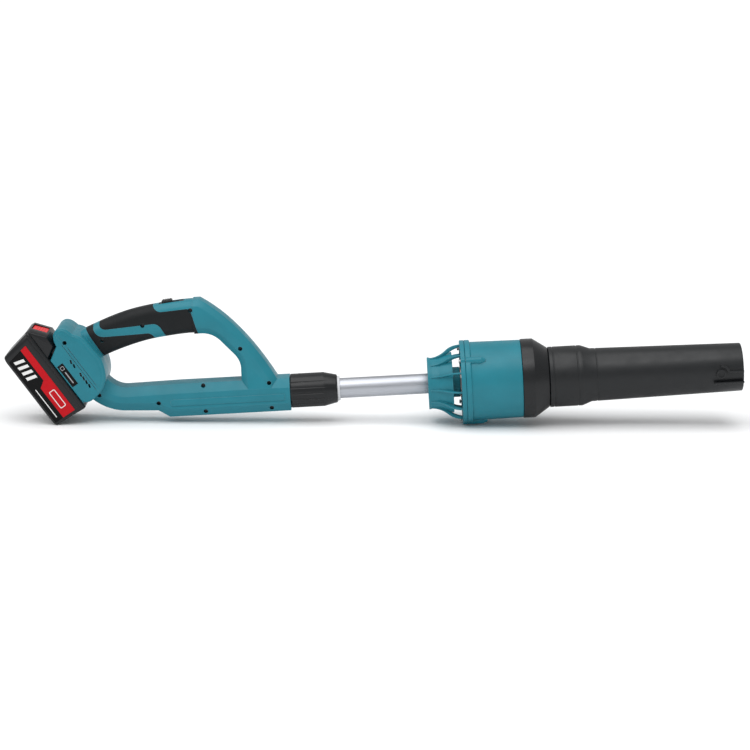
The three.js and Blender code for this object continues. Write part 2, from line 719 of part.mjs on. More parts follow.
function addStator() {
  const pod = turned([
    [281, 0], [281, 12], [285, 19.5], [318, 19.5], [343, 10], [353, 3], [350, 2], [341, 8.5], [317, 17.3],
    [287, 17.3], [284, 10.5], [284, 0],
  ], 20);
  const ring = tubeX(286, 312.4, 51.4, 49.8);
  const shape = {
    radii: [18.4, 34, 50.6], chord: [24, 24, 24], pitch: [-20, -16, -12], thickness: 2.2, x: 299,
  };
  const firstVane = 20;
  const vanes = Array.from({ length: VANE_COUNT }, (_, i) => (
    bladeBody((360 * i) / VANE_COUNT + firstVane, shape)
  ));
  add('stator', joined([pod, ring, ...vanes]), FINISH.black);
}

// ---- Nozzle -------------------------------------------------------------------------------------
// The groove in the socket takes the cone's pins: in along the axis, then round to the lock.
function pinGroove(angle) {
  const room = tubeX(350, 392, 41.3, 36);
  const entry = room.intersect(wedge(350, 388.2, 60, angle + BAYONET_TURN - 5, angle + BAYONET_TURN + 5));
  const turn = room.intersect(wedge(381.8, 388.2, 60, angle - 5, angle + BAYONET_TURN + 5));
  return entry.add(turn);
}

// The raised hook on the free end that catches the next tube: a rail to the rim and a round pocket.
function bayonetRelief() {
  const lower = block(585, NOZZLE_END_X, -36.6, -30, -15.2, -13);
  const upper = block(604, NOZZLE_END_X, -37, -30, -0.4, 2.4);
  const pocket = rodY(594.5, -1.2, -37, -30, 6.4, 20).subtract(rodY(594.5, -1.2, -40, -35.4, 4.6, 20));
  const hook = rodY(594.5, -1.2, -37, -30, 12.6, 24)
    .subtract(rodY(594.5, -1.2, -50, -10, 9.8, 24))
    .intersect(block(594.5, 620, -60, 0, 0, 30));
  return [lower, upper, pocket, hook];
}

function addNozzle() {
  const shell = turned([
    [NOZZLE_X, 39.7], [NOZZLE_X, 41.4], [NOZZLE_X + 1, 42], [404, 42], [406, 41.8], [417.6, 37],
    [NOZZLE_END_X - 1, 33.3], [NOZZLE_END_X, 32.6], [NOZZLE_END_X, 31], [418, 34.6], [404, 39.7],
  ]);
  const bore = rodX(400, 640, 30.9, ROUND_SIDES);
  const relief = joined(bayonetRelief()).subtract(bore);
  const hollow = turned([[404, 0], [404, 39.7], [418, 34.6], [NOZZLE_END_X + 1, 31], [NOZZLE_END_X + 1, 0]]);
  const nozzle = shell.add(relief.subtract(hollow));
  add('nozzle_tube', cutFrom(nozzle, [pinGroove(90), pinGroove(270)]), FINISH.black);
}

// ---- Battery pack, in its own frame ---------------------------------------------------------------
// A level ring with rounded corners round the pack.
function packRing(w, x0, x1, half, radius) {
  const corners = [
    [x1 - radius, -half + radius, -90], [x1 - radius, half - radius, 0],
    [x0 + radius, half - radius, 90], [x0 + radius, -half + radius, 180],
  ];
  return corners.flatMap(([x, y, start]) => [0, 45, 90].map((step) => {
    const angle = THREE.MathUtils.degToRad(start + step);
    return new THREE.Vector3(x + radius * Math.cos(angle), y + radius * Math.sin(angle), w);
  }));
}

// The case from its flat base up; its ends lean outwards as they rise.
function caseForm(inset, bottom) {
  const levels = [[0, 3.6], [1, 1.6], [4, 0], [CASE_HEIGHT, 0]]; // height, and how far the edge is tucked in
  return lofted(levels.map(([w, tuck]) => {
    const lean = (8 * w) / CASE_HEIGHT;
    const edge = inset + tuck;
    const level = w === 0 ? bottom : w;
    return packRing(level, 3 - lean + edge, 121 + lean / 2 - edge, CASE_HALF - edge, 6);
  }));
}

function labelArea() {
  return outlineOf([[12.5, 3.6], [6.5, 37], [118.5, 37], [117.5, 3.6]]);
}

function addPackCase() {
  const room = caseForm(CASE_WALL, CASE_WALL).add(block(2, 118, -30, 30, 40, 60));
  const tub = caseForm(0, 0).subtract(room.intersect(block(-20, 140, -50, 50, CASE_WALL, 60)));
  const recess = plate(labelArea(), 60).subtract(block(-20, 140, 0.8 - CASE_HALF, CASE_HALF - 0.8, -5, 60));
  add('battery_case', tub.subtract(recess), FINISH.black, pack);
  for (const [name, side] of [['right', -1], ['left', 1]]) {
    const faces = [side * (CASE_HALF - 0.5), side * (CASE_HALF + 0.1)].sort((a, b) => a - b);
    const sheet = plate(labelArea(), 60, { inset: GAP });
    add(`${name}_battery_label`, sheet.intersect(block(-20, 140, ...faces, -5, 60)), FINISH.label, pack);
  }
}

function noseForm(inset) {
  const outline = outlineOf([[-6.8, 30], [-6.8, 53], [13.5, 68.6], [31.8, 68.4], [42.4, 50], [42.4, 30]]);
  const tall = plate(outline, 34, { bevel: 3, bevelDepth: 9, inset });
  return tall.subtract(block(-20, 60, -60, 60, 20, CASE_HEIGHT + GAP + inset));
}

function buttonFrame() {
  // X runs up the sloping front face, Z straight out of it.
  const place = new THREE.Matrix4().makeRotationY(-THREE.MathUtils.degToRad(39.4));
  return place.setPosition(3.6, 0, 59.8);
}

function addPackCover() {
  const top = lofted([
    packRing(CASE_HEIGHT + GAP, -6.8, 125, CASE_HALF, 6),
    packRing(47.6, -6.8, 125, CASE_HALF, 6),
    packRing(50.2, -4.4, 122.6, CASE_HALF - 2.4, 5),
  ]);
  const neck = block(36, 104, -21.5, 21.5, 49, 56.5);
  const rails = block(34, 104, -26.4, 26.4, 56.4, 65.4);
  const bladeSlots = [-9, 9].map((y) => block(84, 110, y - 1.5, y + 1.5, 57, 63.8));
  const hollow = block(44, 82, -18, 18, 40, 62);
  const buttonWell = moved(block(-11.4, 10.9, -16.3, 16.3, -9, 12), buttonFrame());
  const noseHollow = noseForm(3).intersect(block(8, 39, -28, 28, 40, 64));
  const under = block(4, 112, -30, 30, 40, 47.6);
  const cover = cutFrom(joined([top, neck, rails, noseForm(0)]), [
    ...bladeSlots, hollow, buttonWell, noseHollow, under,
  ]);
  add('battery_cover', cover, FINISH.black, pack);
}

function addPackInside() {
  const rows = [['lower', 12.2], ['upper', 31]];
  for (const [name, w] of rows) {
    const end = CELL_LENGTH / 2;
    const cells = [0, 1, 2, 3, 4].map((i) => rodY(26 + CELL_PITCH * i, w, -end, end, CELL_R, 14));
    const strips = [-end, end].map((y) => block(24, 28 + CELL_PITCH * 4, y - 0.2, y + 0.2, w - 3, w + 3));
    add(`${name}_cell_row`, joined([...cells, ...strips]), FINISH.cell, pack);
  }
  const board = block(20, 104, -24, 24, 42, 43.4);
  add('battery_board', board, FINISH.green, pack);
  const carrier = block(58, 80, -13, 13, 44, 46);
  const prongs = [-10.6, -7.4, 7.4, 10.6].map((y) => block(66, 78, y - 0.4, y + 0.4, 45, 60));
  add('battery_terminals', joined([carrier, ...prongs]), FINISH.copper, pack);
}

function addRelease() {
  const face = block(-10.8, 10.3, -15.8, 15.8, -5.5, -0.4);
  const ribsOnTop = [-5, -1.5, 2, 5.5].map((x) => block(x - 0.5, x + 0.5, -12, 12, -1, 0.3));
  add('release_button', moved(joined([face, ...ribsOnTop]), buttonFrame()), FINISH.red, pack);
  const coil = [];
  for (let i = 0; i <= 8 * 3; i += 1) {
    const angle = (i * Math.PI) / 4;
    coil.push([2.4 * Math.cos(angle), 2.4 * Math.sin(angle), -8 + (2 * i) / 24]);
  }
  add('latch_spring', moved(wireAlong(coil, 0.3, 24), buttonFrame()), FINISH.steel, pack);
}

// ---- Assembly -------------------------------------------------------------------------------------
handleParts();
addShellScrews();
addSwitch();
addHandleWiring();
addCollar();
addTube();
addGuard();
addHousing();
addOutletCone();
addRotor();
addMotor();
addStator();
addNozzle();
addPackCase();
addPackCover();
addPackInside();
addRelease();

// The tool lies on the pack's rear lower edge and the flange's rim.
const packEdge = new THREE.Vector3(118, 0, 0.4).applyMatrix4(PACK_PLACE);
const REST_PITCH = Math.atan2(packEdge.z + FLANGE_R, FLANGE_X - packEdge.x);
blower.rotation.y = -REST_PITCH;
blower.updateMatrixWorld(true);
const extent = new THREE.Box3().setFromObject(blower, true);
blower.position.set(-(extent.min.x + extent.max.x) / 2, -(extent.min.y + extent.max.y) / 2, -extent.min.z);

export default blower;
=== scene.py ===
"""Looks for a cordless stick leaf blower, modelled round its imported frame."""

import json
import math
from contextlib import contextmanager

import bpy
from bpy.props import FloatProperty, FloatVectorProperty, IntProperty, PointerProperty
from mathutils import Matrix, Vector


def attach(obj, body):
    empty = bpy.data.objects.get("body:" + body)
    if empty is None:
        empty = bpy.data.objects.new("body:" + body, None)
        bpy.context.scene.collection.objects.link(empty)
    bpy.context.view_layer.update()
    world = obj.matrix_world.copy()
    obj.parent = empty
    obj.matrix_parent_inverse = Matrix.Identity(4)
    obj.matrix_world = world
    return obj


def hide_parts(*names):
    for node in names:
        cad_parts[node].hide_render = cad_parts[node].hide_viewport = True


bl_info = {
    "name": "Stick Blower Looks",
    "version": (1, 0, 0),
    "blender": (4, 5, 0),
    "location": "View3D > Sidebar > Blower",
    "description": "Models the visible pieces of a cordless stick blower round its frame",
    "category": "Object",
}

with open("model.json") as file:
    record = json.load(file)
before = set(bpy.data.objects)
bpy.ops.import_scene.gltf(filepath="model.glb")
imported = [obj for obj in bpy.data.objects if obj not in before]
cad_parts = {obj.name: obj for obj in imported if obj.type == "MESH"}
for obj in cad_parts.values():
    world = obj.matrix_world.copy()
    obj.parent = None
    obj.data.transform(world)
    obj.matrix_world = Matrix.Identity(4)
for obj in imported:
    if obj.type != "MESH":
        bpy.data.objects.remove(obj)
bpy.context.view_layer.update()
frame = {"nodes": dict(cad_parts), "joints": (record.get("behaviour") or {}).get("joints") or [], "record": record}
JOINTS = {joint["name"]: joint for joint in frame["joints"]}

# ---- Frames -----------------------------------------------------------------------------------
# Pieces are drawn in millimetres in one of these frames, then placed in the row frame.


def turn_y(degrees):
    return Matrix.Rotation(math.radians(degrees), 4, "Y")


MILLIMETRE = 0.001
TUBE_AXIS = Vector(JOINTS["boom_slide"]["axis"])
PITCH = math.degrees(math.atan2(TUBE_AXIS.z, TUBE_AXIS.x))
COLLAR_PIVOT_X = 30
PACK_ORIGIN = (-392, 0, 77)
PACK_TILT = 57
SWITCH_CENTRE = (-156.5, 0, 135.4)
SWITCH_TILT = 5.5
NOSE_CENTRE = (3.6, 0, 59.8)
NOSE_TILT = 39.4

# X along the tube with x = 0 at the handle's front face, and z = 0 on the tube's axis.
TOOL = (
    Matrix.Translation(Vector(JOINTS["collar_twist"]["pos_m"]))
    @ turn_y(-PITCH)
    @ Matrix.Scale(MILLIMETRE, 4)
    @ Matrix.Translation((-COLLAR_PIVOT_X, 0, 0))
)
# X along the battery pack, Z from its base to its rails.
PACK_FROM_TOOL = Matrix.Translation(PACK_ORIGIN) @ turn_y(PACK_TILT)
PACK = TOOL @ PACK_FROM_TOOL
# X along the switch's slot, Z out of the grip.
SWITCH = TOOL @ Matrix.Translation(SWITCH_CENTRE) @ turn_y(-SWITCH_TILT)
# X up the pack's sloping nose, Z straight out of it.
BUTTON = PACK @ Matrix.Translation(NOSE_CENTRE) @ turn_y(-NOSE_TILT)

# ---- Sizes, in millimetres --------------------------------------------------------------------
GAP = 0.3
WALL = 3.2
# Past either side of the tool, for cuts that go right through.
THROUGH = 60
PAD_DEPTH = 1.7

BEAM_HALF = 23
GRIP_HALF = 18
STRUT_HALF = 18.5
STRUT_TOP_Z = 137.8
STRUT_WIDENING = 0.00175
FOOT_HALF = 37
LEDGE_HALF = 37.7
LEDGE_W = 78
SHOULDER_HALF = 38.5
SHOULDER_W = 82
GROOVE_WIDTH = 1.1
GROOVE_DEPTH = 0.9
BORE_R = 14.8
SPIGOT_R = 18.6

GRIP_TOP = [
    (-292, 97), (-277.6, 104.8), (-240, 119.4), (-208.3, 128.3), (-172, 134), (-141.8, 136.9),
    (-117.2, 137.6),
]
GRIP_TOP_START = (-310, 87.3)
GRIP_UNDER_START = (-284, 42.3)
GRIP_FRONT = [(-90, 137.6), (-90, 90.4)]
GRIP_UNDER = [
    (-266, 56), (-254.2, 65), (-224, 76), (-193, 84.2), (-164, 88.4), (-136, 90.8), (-117, 90.4),
]

# x, z, how far the head's seat is from the middle, and half the boss's length.
SHELL_SCREWS = [
    (-303.6, 92, 22, 34), (-263.7, 12.7, 10, 19), (-254.3, 89, 9, 14), (-197.4, 106.4, 9, 14),
    (-130.2, 124.1, 9, 14), (-64.8, 67.2, 9, 15), (-28, 17.3, 9, 17), (-119.5, 17.5, 9, 17),
    (-182.4, -3.1, 10, 20), (-118.2, -18.4, 9, 15), (-26.5, -18.4, 9, 15),
]
SCREW_HOLE_R = 3.1

COLLAR_R = 23.7
TUBE_R = 14
FLANGE_X = 237.3
FLANGE_SEAM_X = 243.75
FLANGE_END_X = 251
FLANGE_R = 57.6
HOUSING_END_X = 321.5
BOSS_ANGLES = (43, 133, 223, 283)
BOSS_CENTRE_R = 54.4
FIN_COUNT = 12
FIN_START = -5
FLANGE_SCREW_R = 1.8
PIN_X = 385
CONE_SPIGOT_R = 39.3
NOZZLE_X = 359.3
NOZZLE_END_X = 626.4
BAYONET_TURN = 25

CASE_HALF = 38
CASE_HEIGHT = 45.6
LID_X = -6.8
LID_END_X = 125
NOSE_HALF = 34
NOSE_RIM = [(3, 9)]
INK_HALF = 0.03


# ---- Mesh tools -------------------------------------------------------------------------------
def only(piece):
    """Leaves this piece alone selected and active."""
    bpy.ops.object.select_all(action="DESELECT")
    piece.select_set(True)
    bpy.context.view_layer.objects.active = piece


@contextmanager
def editing(piece, mode="FACE", everything=True):
    only(piece)
    bpy.ops.object.mode_set(mode="EDIT")
    bpy.ops.mesh.select_mode(type=mode)
    if everything:
        bpy.ops.mesh.select_all(action="SELECT")
    yield
    bpy.ops.object.mode_set(mode="OBJECT")


def pick_faces(piece, wanted):
    """Selects the faces that the test wants, and nothing else."""
    with editing(piece):
        bpy.ops.mesh.select_all(action="DESELECT")
    for face in piece.data.polygons:
        face.select = wanted(face)


def apply_place(piece, place=None):
    only(piece)
    if place is not None:
        piece.matrix_world = place
    bpy.ops.object.transform_apply(location=True, rotation=True, scale=True)
    return piece


def made():
    """The piece that an operator has just added, with its place in its mesh."""
    return apply_place(bpy.context.object)


def modified(piece, kind, **settings):
    """Adds one modifier and applies it."""
    only(piece)
    modifier = piece.modifiers.new(kind.title(), kind)
    for name, value in settings.items():
        setattr(modifier, name, value)
    bpy.ops.object.modifier_apply(modifier=modifier.name)
    return piece


def rounded(piece, width, above=30, segments=2):
    """Rounds the edges where the surface turns by more than an angle."""
    return modified(
        piece, "BEVEL", width=width, segments=segments, limit_method="ANGLE",
        angle_limit=math.radians(above), use_clamp_overlap=True,
    )


def combined(piece, others, operation):
    for other in others:
        modified(piece, "BOOLEAN", object=other, operation=operation, solver="MANIFOLD")
        bpy.data.objects.remove(other)
    return piece


def cut(piece, *tools):
    return combined(piece, tools, "DIFFERENCE")


def united(piece, *others):
    return combined(piece, others, "UNION")


def kept_inside(piece, *others):
    return combined(piece, others, "INTERSECT")


def duplicate(piece):
    copy = piece.copy()
    copy.data = piece.data.copy()
    bpy.context.scene.collection.objects.link(copy)
    return copy


def grouped(pieces):
    """Joins separate bodies into one piece, with nothing merged."""
    only(pieces[0])
    for piece in pieces:
        piece.select_set(True)
    bpy.ops.object.join()
    return bpy.context.object


def outward(piece):
    with editing(piece):
        bpy.ops.mesh.remove_doubles(threshold=0.0005)
        bpy.ops.mesh.normals_make_consistent(inside=False)
    return piece


def about_x(piece, degrees):
    """Turns a piece about the tube's axis, rising on the near side."""
    return apply_place(piece, Matrix.Rotation(-math.radians(degrees), 4, "X"))


def ring_of(piece, angles):
    """Copies of a piece at angles about the tube's axis, in one mesh. The first piece is used up."""
    copies = [about_x(duplicate(piece), angle) for angle in angles]
    bpy.data.objects.remove(piece)
    return grouped(copies)


def lofted(rings):
    """A closed body through rings of points, all listed the same way round."""
    sides = len(rings[0])
    bpy.ops.mesh.primitive_circle_add(vertices=sides, fill_type="NGON")
    piece = made()
    with editing(piece):
        for _ in rings[1:]:
            bpy.ops.mesh.extrude_region_move(TRANSFORM_OT_translate={"value": (0, 0, 1)})
    for vertex in piece.data.vertices:
        step = round(math.atan2(vertex.co.x, vertex.co.y) / (2 * math.pi) * sides) % sides
        vertex.co = rings[round(vertex.co.z)][step]
    return outward(piece)


def block(x0, x1, y0, y1, z0, z1):
    bpy.ops.mesh.primitive_cube_add(
        size=1, location=((x0 + x1) / 2, (y0 + y1) / 2, (z0 + z1) / 2), scale=(x1 - x0, y1 - y0, z1 - z0)
    )
    return made()


def rod_x(x0, x1, radius, sides=32, y=0, z=0):
    bpy.ops.mesh.primitive_cylinder_add(
        vertices=sides, radius=radius, depth=x1 - x0, location=((x0 + x1) / 2, y, z),
        rotation=(0, math.pi / 2, 0),
    )
    return made()


def rod_y(x, z, y0, y1, radius, sides=32):
    bpy.ops.mesh.primitive_cylinder_add(
        vertices=sides, radius=radius, depth=y1 - y0, location=(x, (y0 + y1) / 2, z),
        rotation=(math.pi / 2, 0, 0),
    )
    return made()


def turned(profile, sides=None):
    """Draws a closed profile of (x, radius) round the tube's axis, ring after ring."""
    sides = sides or bpy.context.scene.blower_sizes.round_sides
    x, radius = profile[0]
    bpy.ops.mesh.primitive_circle_add(
        vertices=sides, radius=radius, location=(x, 0, 0), rotation=(0, math.pi / 2, 0)
    )
    piece = made()
    with editing(piece, "EDGE"):
        for next_x, next_radius in profile[1:] + profile[:1]:
            bpy.ops.mesh.extrude_edges_move(TRANSFORM_OT_translate={"value": (next_x - x, 0, 0)})
            growth = next_radius / radius
            bpy.ops.transform.resize(value=(1, growth, growth), center_override=(next_x, 0, 0))
            x, radius = next_x, next_radius
    return outward(piece)


def turned_solid(profile, sides=None):
    """A solid of revolution through the (x, radius) rings, with flat ends."""
    sides = sides or bpy.context.scene.blower_sizes.round_sides
    angles = [2 * math.pi * i / sides for i in range(sides)]
    return lofted([
        [(x, radius * math.cos(angle), radius * math.sin(angle)) for angle in angles] for x, radius in profile
    ])


def tube_x(x0, x1, outer, inner, sides=None):
    return turned([(x0, inner), (x0, outer), (x1, outer), (x1, inner)], sides)


# ---- Outlines and plates ----------------------------------------------------------------------
class Outline:
    """A closed line in side view, drawn stretch by stretch."""

    def __init__(self, *start):
        self.points = [start]

    def line(self, *ends):
        self.points.extend(ends)
        return self

    def curve(self, control, end, steps=12):
        start = self.points[-1]
        for step in range(1, steps + 1):
            t = step / steps
            share = ((1 - t) ** 2, 2 * t * (1 - t), t**2)
            axes = zip(start, control, end)
            self.points.append(tuple(sum(s * p for s, p in zip(share, axis)) for axis in axes))
        return self

    def arc(self, centre, radius, start, end, steps=16):
        for step in range(steps + 1):
            angle = math.radians(start + (end - start) * step / steps)
            self.points.append((centre[0] + radius * math.cos(angle), centre[1] + radius * math.sin(angle)))
        return self


def smooth_line(points, steps=8):
    """A smooth line through every point."""
    padded = [points[0], *points, points[-1]]
    line = []
    for a, b, c, d in zip(padded, padded[1:], padded[2:], padded[3:]):
        for step in range(steps):
            t = step / steps
            line.append(tuple(
                q + 0.5 * t * (r - p + t * (2 * p - 5 * q + 4 * r - s + t * (3 * (q - r) + s - p)))
                for p, q, r, s in zip(a, b, c, d)
            ))
    return [*line, points[-1]]


def quarter_round(inwards, outwards, steps):
    """Steps that bring a rim in and out along a quarter of an ellipse."""
    angles = [math.pi / 2 * step / steps for step in range(steps + 1)]
    return [
        (inwards * (math.cos(a) - math.cos(b)), outwards * (math.sin(b) - math.sin(a)))
        for a, b in zip(angles, angles[1:])
    ]


def plate(outline, half, rim=(), inset=0):
    """An outline in X and Z, pushed out both ways from y = 0. Each rim step goes inwards and outwards."""
    points = outline.points if isinstance(outline, Outline) else outline
    flat = half - inset - sum(outwards for _, outwards in rim)
    bpy.ops.mesh.primitive_circle_add(vertices=len(points), fill_type="NGON")
    piece = made()
    for vertex, (x, z) in zip(piece.data.vertices, points):
        vertex.co = (x, -flat, z)
    with editing(piece):
        if inset:
            bpy.ops.mesh.inset(thickness=inset)
            bpy.ops.mesh.select_all(action="INVERT")
            bpy.ops.mesh.delete(type="FACE")
            bpy.ops.mesh.select_all(action="SELECT")
        bpy.ops.mesh.extrude_region_move(TRANSFORM_OT_translate={"value": (0, 2 * flat, 0)})
    outward(piece)
    for side in (-1, 1):
        if rim:
            pick_faces(piece, lambda face: face.normal.y * side > 0.9 and face.center.y * side > flat - 0.01)
        with editing(piece, everything=False):
            for inwards, outwards in rim:
                bpy.ops.mesh.inset(thickness=inwards, depth=outwards)
    return piece


def above_level(piece, level):
    """Keeps what lies above a level in Z, with the cut closed."""
    with editing(piece):
        bpy.ops.mesh.bisect(plane_co=(0, 0, level), plane_no=(0, 0, 1), use_fill=True, clear_inner=True)
    return outward(piece)


def capsule(length, radius):
    reach = length / 2 - radius
    return Outline(reach, -radius).arc((reach, 0), radius, -80, 90, 10).arc((-reach, 0), radius, 90, 270, 10)


# ---- Finishes ---------------------------------------------------------------------------------
def node(tree, kind, **inputs):
    added = tree.nodes.new(f"ShaderNode{kind}")
    for name, value in inputs.items():
        added.inputs[name.replace("_", " ")].default_value = value
    return added


def blank_material(name):
    material = bpy.data.materials.new(name)
    material.use_nodes = True
    return material, material.node_tree, material.node_tree.nodes["Principled BSDF"]


def object_coordinates(tree, stretch=(1, 1, 1)):
    """Coordinates along the tool, in metres, with each axis stretched."""
    place = tree.nodes.new("ShaderNodeTexCoord")
    along_tool = tree.nodes.new("ShaderNodeMapping")
    along_tool.vector_type = "TEXTURE"
    along_tool.inputs["Rotation"].default_value = (0, -math.radians(PITCH), 0)
    stretched = tree.nodes.new("ShaderNodeMapping")
    stretched.inputs["Scale"].default_value = stretch
    tree.links.new(place.outputs["Object"], along_tool.inputs["Vector"])
    tree.links.new(along_tool.outputs["Vector"], stretched.inputs["Vector"])
    return stretched.outputs["Vector"]


def noise(tree, vector, scale, detail=2):
    texture = node(tree, "TexNoise", Scale=scale, Detail=detail)
    tree.links.new(vector, texture.inputs["Vector"])
    return texture.outputs["Fac"]


def ranged(tree, source, low, high, from_low=0.3, from_high=0.7):
    spread = node(tree, "MapRange", From_Min=from_low, From_Max=from_high, To_Min=low, To_Max=high)
    tree.links.new(source, spread.inputs["Value"])
    return spread.outputs["Result"]


def blended(tree, share, first, second):
    """A colour between two others, each a colour or a socket."""
    mix = tree.nodes.new("ShaderNodeMix")
    mix.data_type = "RGBA"
    tree.links.new(share, mix.inputs["Factor"])
    for socket, colour in ((mix.inputs[6], first), (mix.inputs[7], second)):
        if isinstance(colour, bpy.types.NodeSocket):
            tree.links.new(colour, socket)
        else:
            socket.default_value = (*colour[:3], 1)
    return mix.outputs[2]


def shade(colour, amount):
    return tuple(min(1, channel * amount) for channel in colour)


def edge_wear_and_highlight(tree, radius):
    """0 on flats, rising to 1 on worn edges. These edges are paled partly as worn and partly as a painted
    highlight.
    """
    bevel = tree.nodes.new("ShaderNodeBevel")
    bevel.samples = 3
    bevel.inputs["Radius"].default_value = radius
    geometry = tree.nodes.new("ShaderNodeNewGeometry")
    dot = tree.nodes.new("ShaderNodeVectorMath")
    dot.operation = "DOT_PRODUCT"
    tree.links.new(bevel.outputs["Normal"], dot.inputs[0])
    tree.links.new(geometry.outputs["Normal"], dot.inputs[1])
    return ranged(tree, dot.outputs["Value"], 1, 0, 0.75, 0.99)


def bumped(tree, shader, height, strength, distance):
    bump = node(tree, "Bump", Strength=strength, Distance=distance)
    tree.links.new(height, bump.inputs["Height"])
    tree.links.new(bump.outputs["Normal"], shader.inputs["Normal"])


def moulded(name, colour, roughness, grain_mm=0.5, grain=0.12, wear_and_highlight=0.25, specular=0.5, spread=0.06):
    """Moulded plastic or rubber: cloudy colour, paler edges that are partly worn and partly a painted highlight, a
    fine spark-eroded grain.
    """
    material, tree, shader = blank_material(name)
    place = object_coordinates(tree)
    clouds = ranged(tree, noise(tree, place, 28, 3), 0, 1)
    body = blended(tree, clouds, shade(colour, 1 - spread), shade(colour, 1 + spread))
    # Edges paled towards white: partly worn, partly a painted highlight standing in for light catching the edges.
    rubbed_and_highlit = tree.nodes.new("ShaderNodeMath")
    rubbed_and_highlit.operation = "MULTIPLY"
    rubbed_and_highlit.inputs[1].default_value = wear_and_highlight
    tree.links.new(edge_wear_and_highlight(tree, 0.0007), rubbed_and_highlit.inputs[0])
    pale = tuple(channel + (1 - channel) * 0.22 for channel in colour)
    tree.links.new(blended(tree, rubbed_and_highlit.outputs[0], body, pale), shader.inputs["Base Color"])
    smudges = noise(tree, place, 65, 4)
    tree.links.new(ranged(tree, smudges, roughness - 0.05, roughness + 0.07), shader.inputs["Roughness"])
    shader.inputs["Specular IOR Level"].default_value = specular
    bumped(tree, shader, noise(tree, place, 1 / (grain_mm * MILLIMETRE), 2), grain, 0.0001)
    return material


def metal(name, colour, roughness, stretch=(1, 1, 1), scale=900, streaks=0.12):
    """Metal with fine scratches; stretch draws them out along the tool."""
    material, tree, shader = blank_material(name)
    place = object_coordinates(tree, stretch)
    scratches = noise(tree, place, scale, 4)
    streaky = ranged(tree, scratches, 0, 1)
    body = blended(tree, streaky, shade(colour, 1 - streaks), shade(colour, 1 + streaks))
    tree.links.new(body, shader.inputs["Base Color"])
    tree.links.new(ranged(tree, scratches, roughness - 0.06, roughness + 0.1), shader.inputs["Roughness"])
    shader.inputs["Metallic"].default_value = 1
    bumped(tree, shader, scratches, 0.08, 0.00005)
    return material


def circuit(name, colour):
    """Green board with paler tracks under the resist."""
    material, tree, shader = blank_material(name)
    tracks = node(tree, "TexBrick", Scale=140, Mortar_Size=0.035)
    tree.links.new(object_coordinates(tree), tracks.inputs["Vector"])
    tracks.inputs["Color1"].default_value = (*colour, 1)
    tracks.inputs["Color2"].default_value = (*shade(colour, 0.8), 1)
    tracks.inputs["Mortar"].default_value = (*shade(colour, 2.6), 1)
    tree.links.new(tracks.outputs["Color"], shader.inputs["Base Color"])
    smudges = noise(tree, object_coordinates(tree), 90)
    tree.links.new(ranged(tree, smudges, 0.3, 0.45), shader.inputs["Roughness"])
    return material


def finish(slot):
    """The material of a slot, made the first time it is asked for."""
    name = f"{slot}_finish"
    if name in bpy.data.materials:
        return bpy.data.materials[name]
    colours = bpy.context.scene.blower_colours
    makers = {
        # Each plastic's edge paling strength sets both its worn edges and its painted edge highlight.
        "teal_plastic": lambda: moulded(name, tuple(colours.shell), 0.38, wear_and_highlight=0.45, specular=0.28),
        "black_plastic": lambda: moulded(name, tuple(colours.black), 0.30, wear_and_highlight=0.16, specular=0.34),
        "nozzle_plastic": lambda: moulded(
            name, tuple(colours.nozzle), 0.40, 0.7, 0.18, wear_and_highlight=0.10, specular=0.36
        ),
        "grip_rubber": lambda: moulded(
            name, tuple(colours.rubber), 0.55, 0.9, 0.35, wear_and_highlight=0.12, specular=0.22
        ),
        "red_plastic": lambda: moulded(name, tuple(colours.button), 0.34, wear_and_highlight=0.3, specular=0.3),
        "pale_plastic": lambda: moulded(name, (0.62, 0.63, 0.65), 0.45),
        "printed_label": lambda: moulded(
            name, (0.003, 0.003, 0.0035), 0.3, 0.25, 0.03, wear_and_highlight=0.0, specular=0.12
        ),
        "red_ink": lambda: moulded(name, tuple(colours.ink), 0.3, 0.25, 0.03, wear_and_highlight=0.0, specular=0.12),
        "white_ink": lambda: moulded(name, (0.80, 0.80, 0.79), 0.32, 0.25, 0.03, wear_and_highlight=0.0, specular=0.2),
        "grey_ink": lambda: moulded(name, (0.30, 0.30, 0.31), 0.32, 0.25, 0.03, wear_and_highlight=0.0),
        "tube_aluminium": lambda: metal(name, tuple(colours.tube), 0.42, (0.02, 1, 1), 700, 0.10),
        "bright_steel": lambda: metal(name, (0.30, 0.305, 0.31), 0.34),
        "black_steel": lambda: metal(name, (0.04, 0.04, 0.042), 0.38),
        "contact_copper": lambda: metal(name, (0.72, 0.42, 0.22), 0.28),
        "circuit_board": lambda: circuit(name, (0.02, 0.16, 0.07)),
        "cell_wrap": lambda: moulded(name, (0.05, 0.18, 0.42), 0.3, 1.5, 0.1),
        "lead_sheath": lambda: moulded(name, (0.015, 0.015, 0.016), 0.5, 0.4, 0.1),
    }
    return makers[slot]()


def settled(piece, name, place, body, nodes, slot, smooth=32):
    """Names a finished piece, puts its place in its mesh and has it stand for CAD nodes on a body."""
    apply_place(piece, place)
    bpy.ops.object.shade_smooth_by_angle(angle=math.radians(smooth))
    piece.name = name
    piece.data.name = name
    if not any(piece.data.materials):
        painted(piece, slot)
    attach(piece, body)
    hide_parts(*nodes)
    return piece


def painted(piece, slot):
    piece.data.materials.clear()
    piece.data.materials.append(finish(slot))
    return piece


# ---- Handle -----------------------------------------------------------------------------------
def grip_form(inset=0):
    under = smooth_line(GRIP_UNDER)[::-1]
    outline = [GRIP_TOP_START, *smooth_line(GRIP_TOP), *GRIP_FRONT, *under, GRIP_UNDER_START]
    grip = plate(outline, GRIP_HALF, quarter_round(15, 13, 7), inset)
    return cut(grip, block(GRIP_TOP[-1][0], 0, -THROUGH, THROUGH, 60, 160))


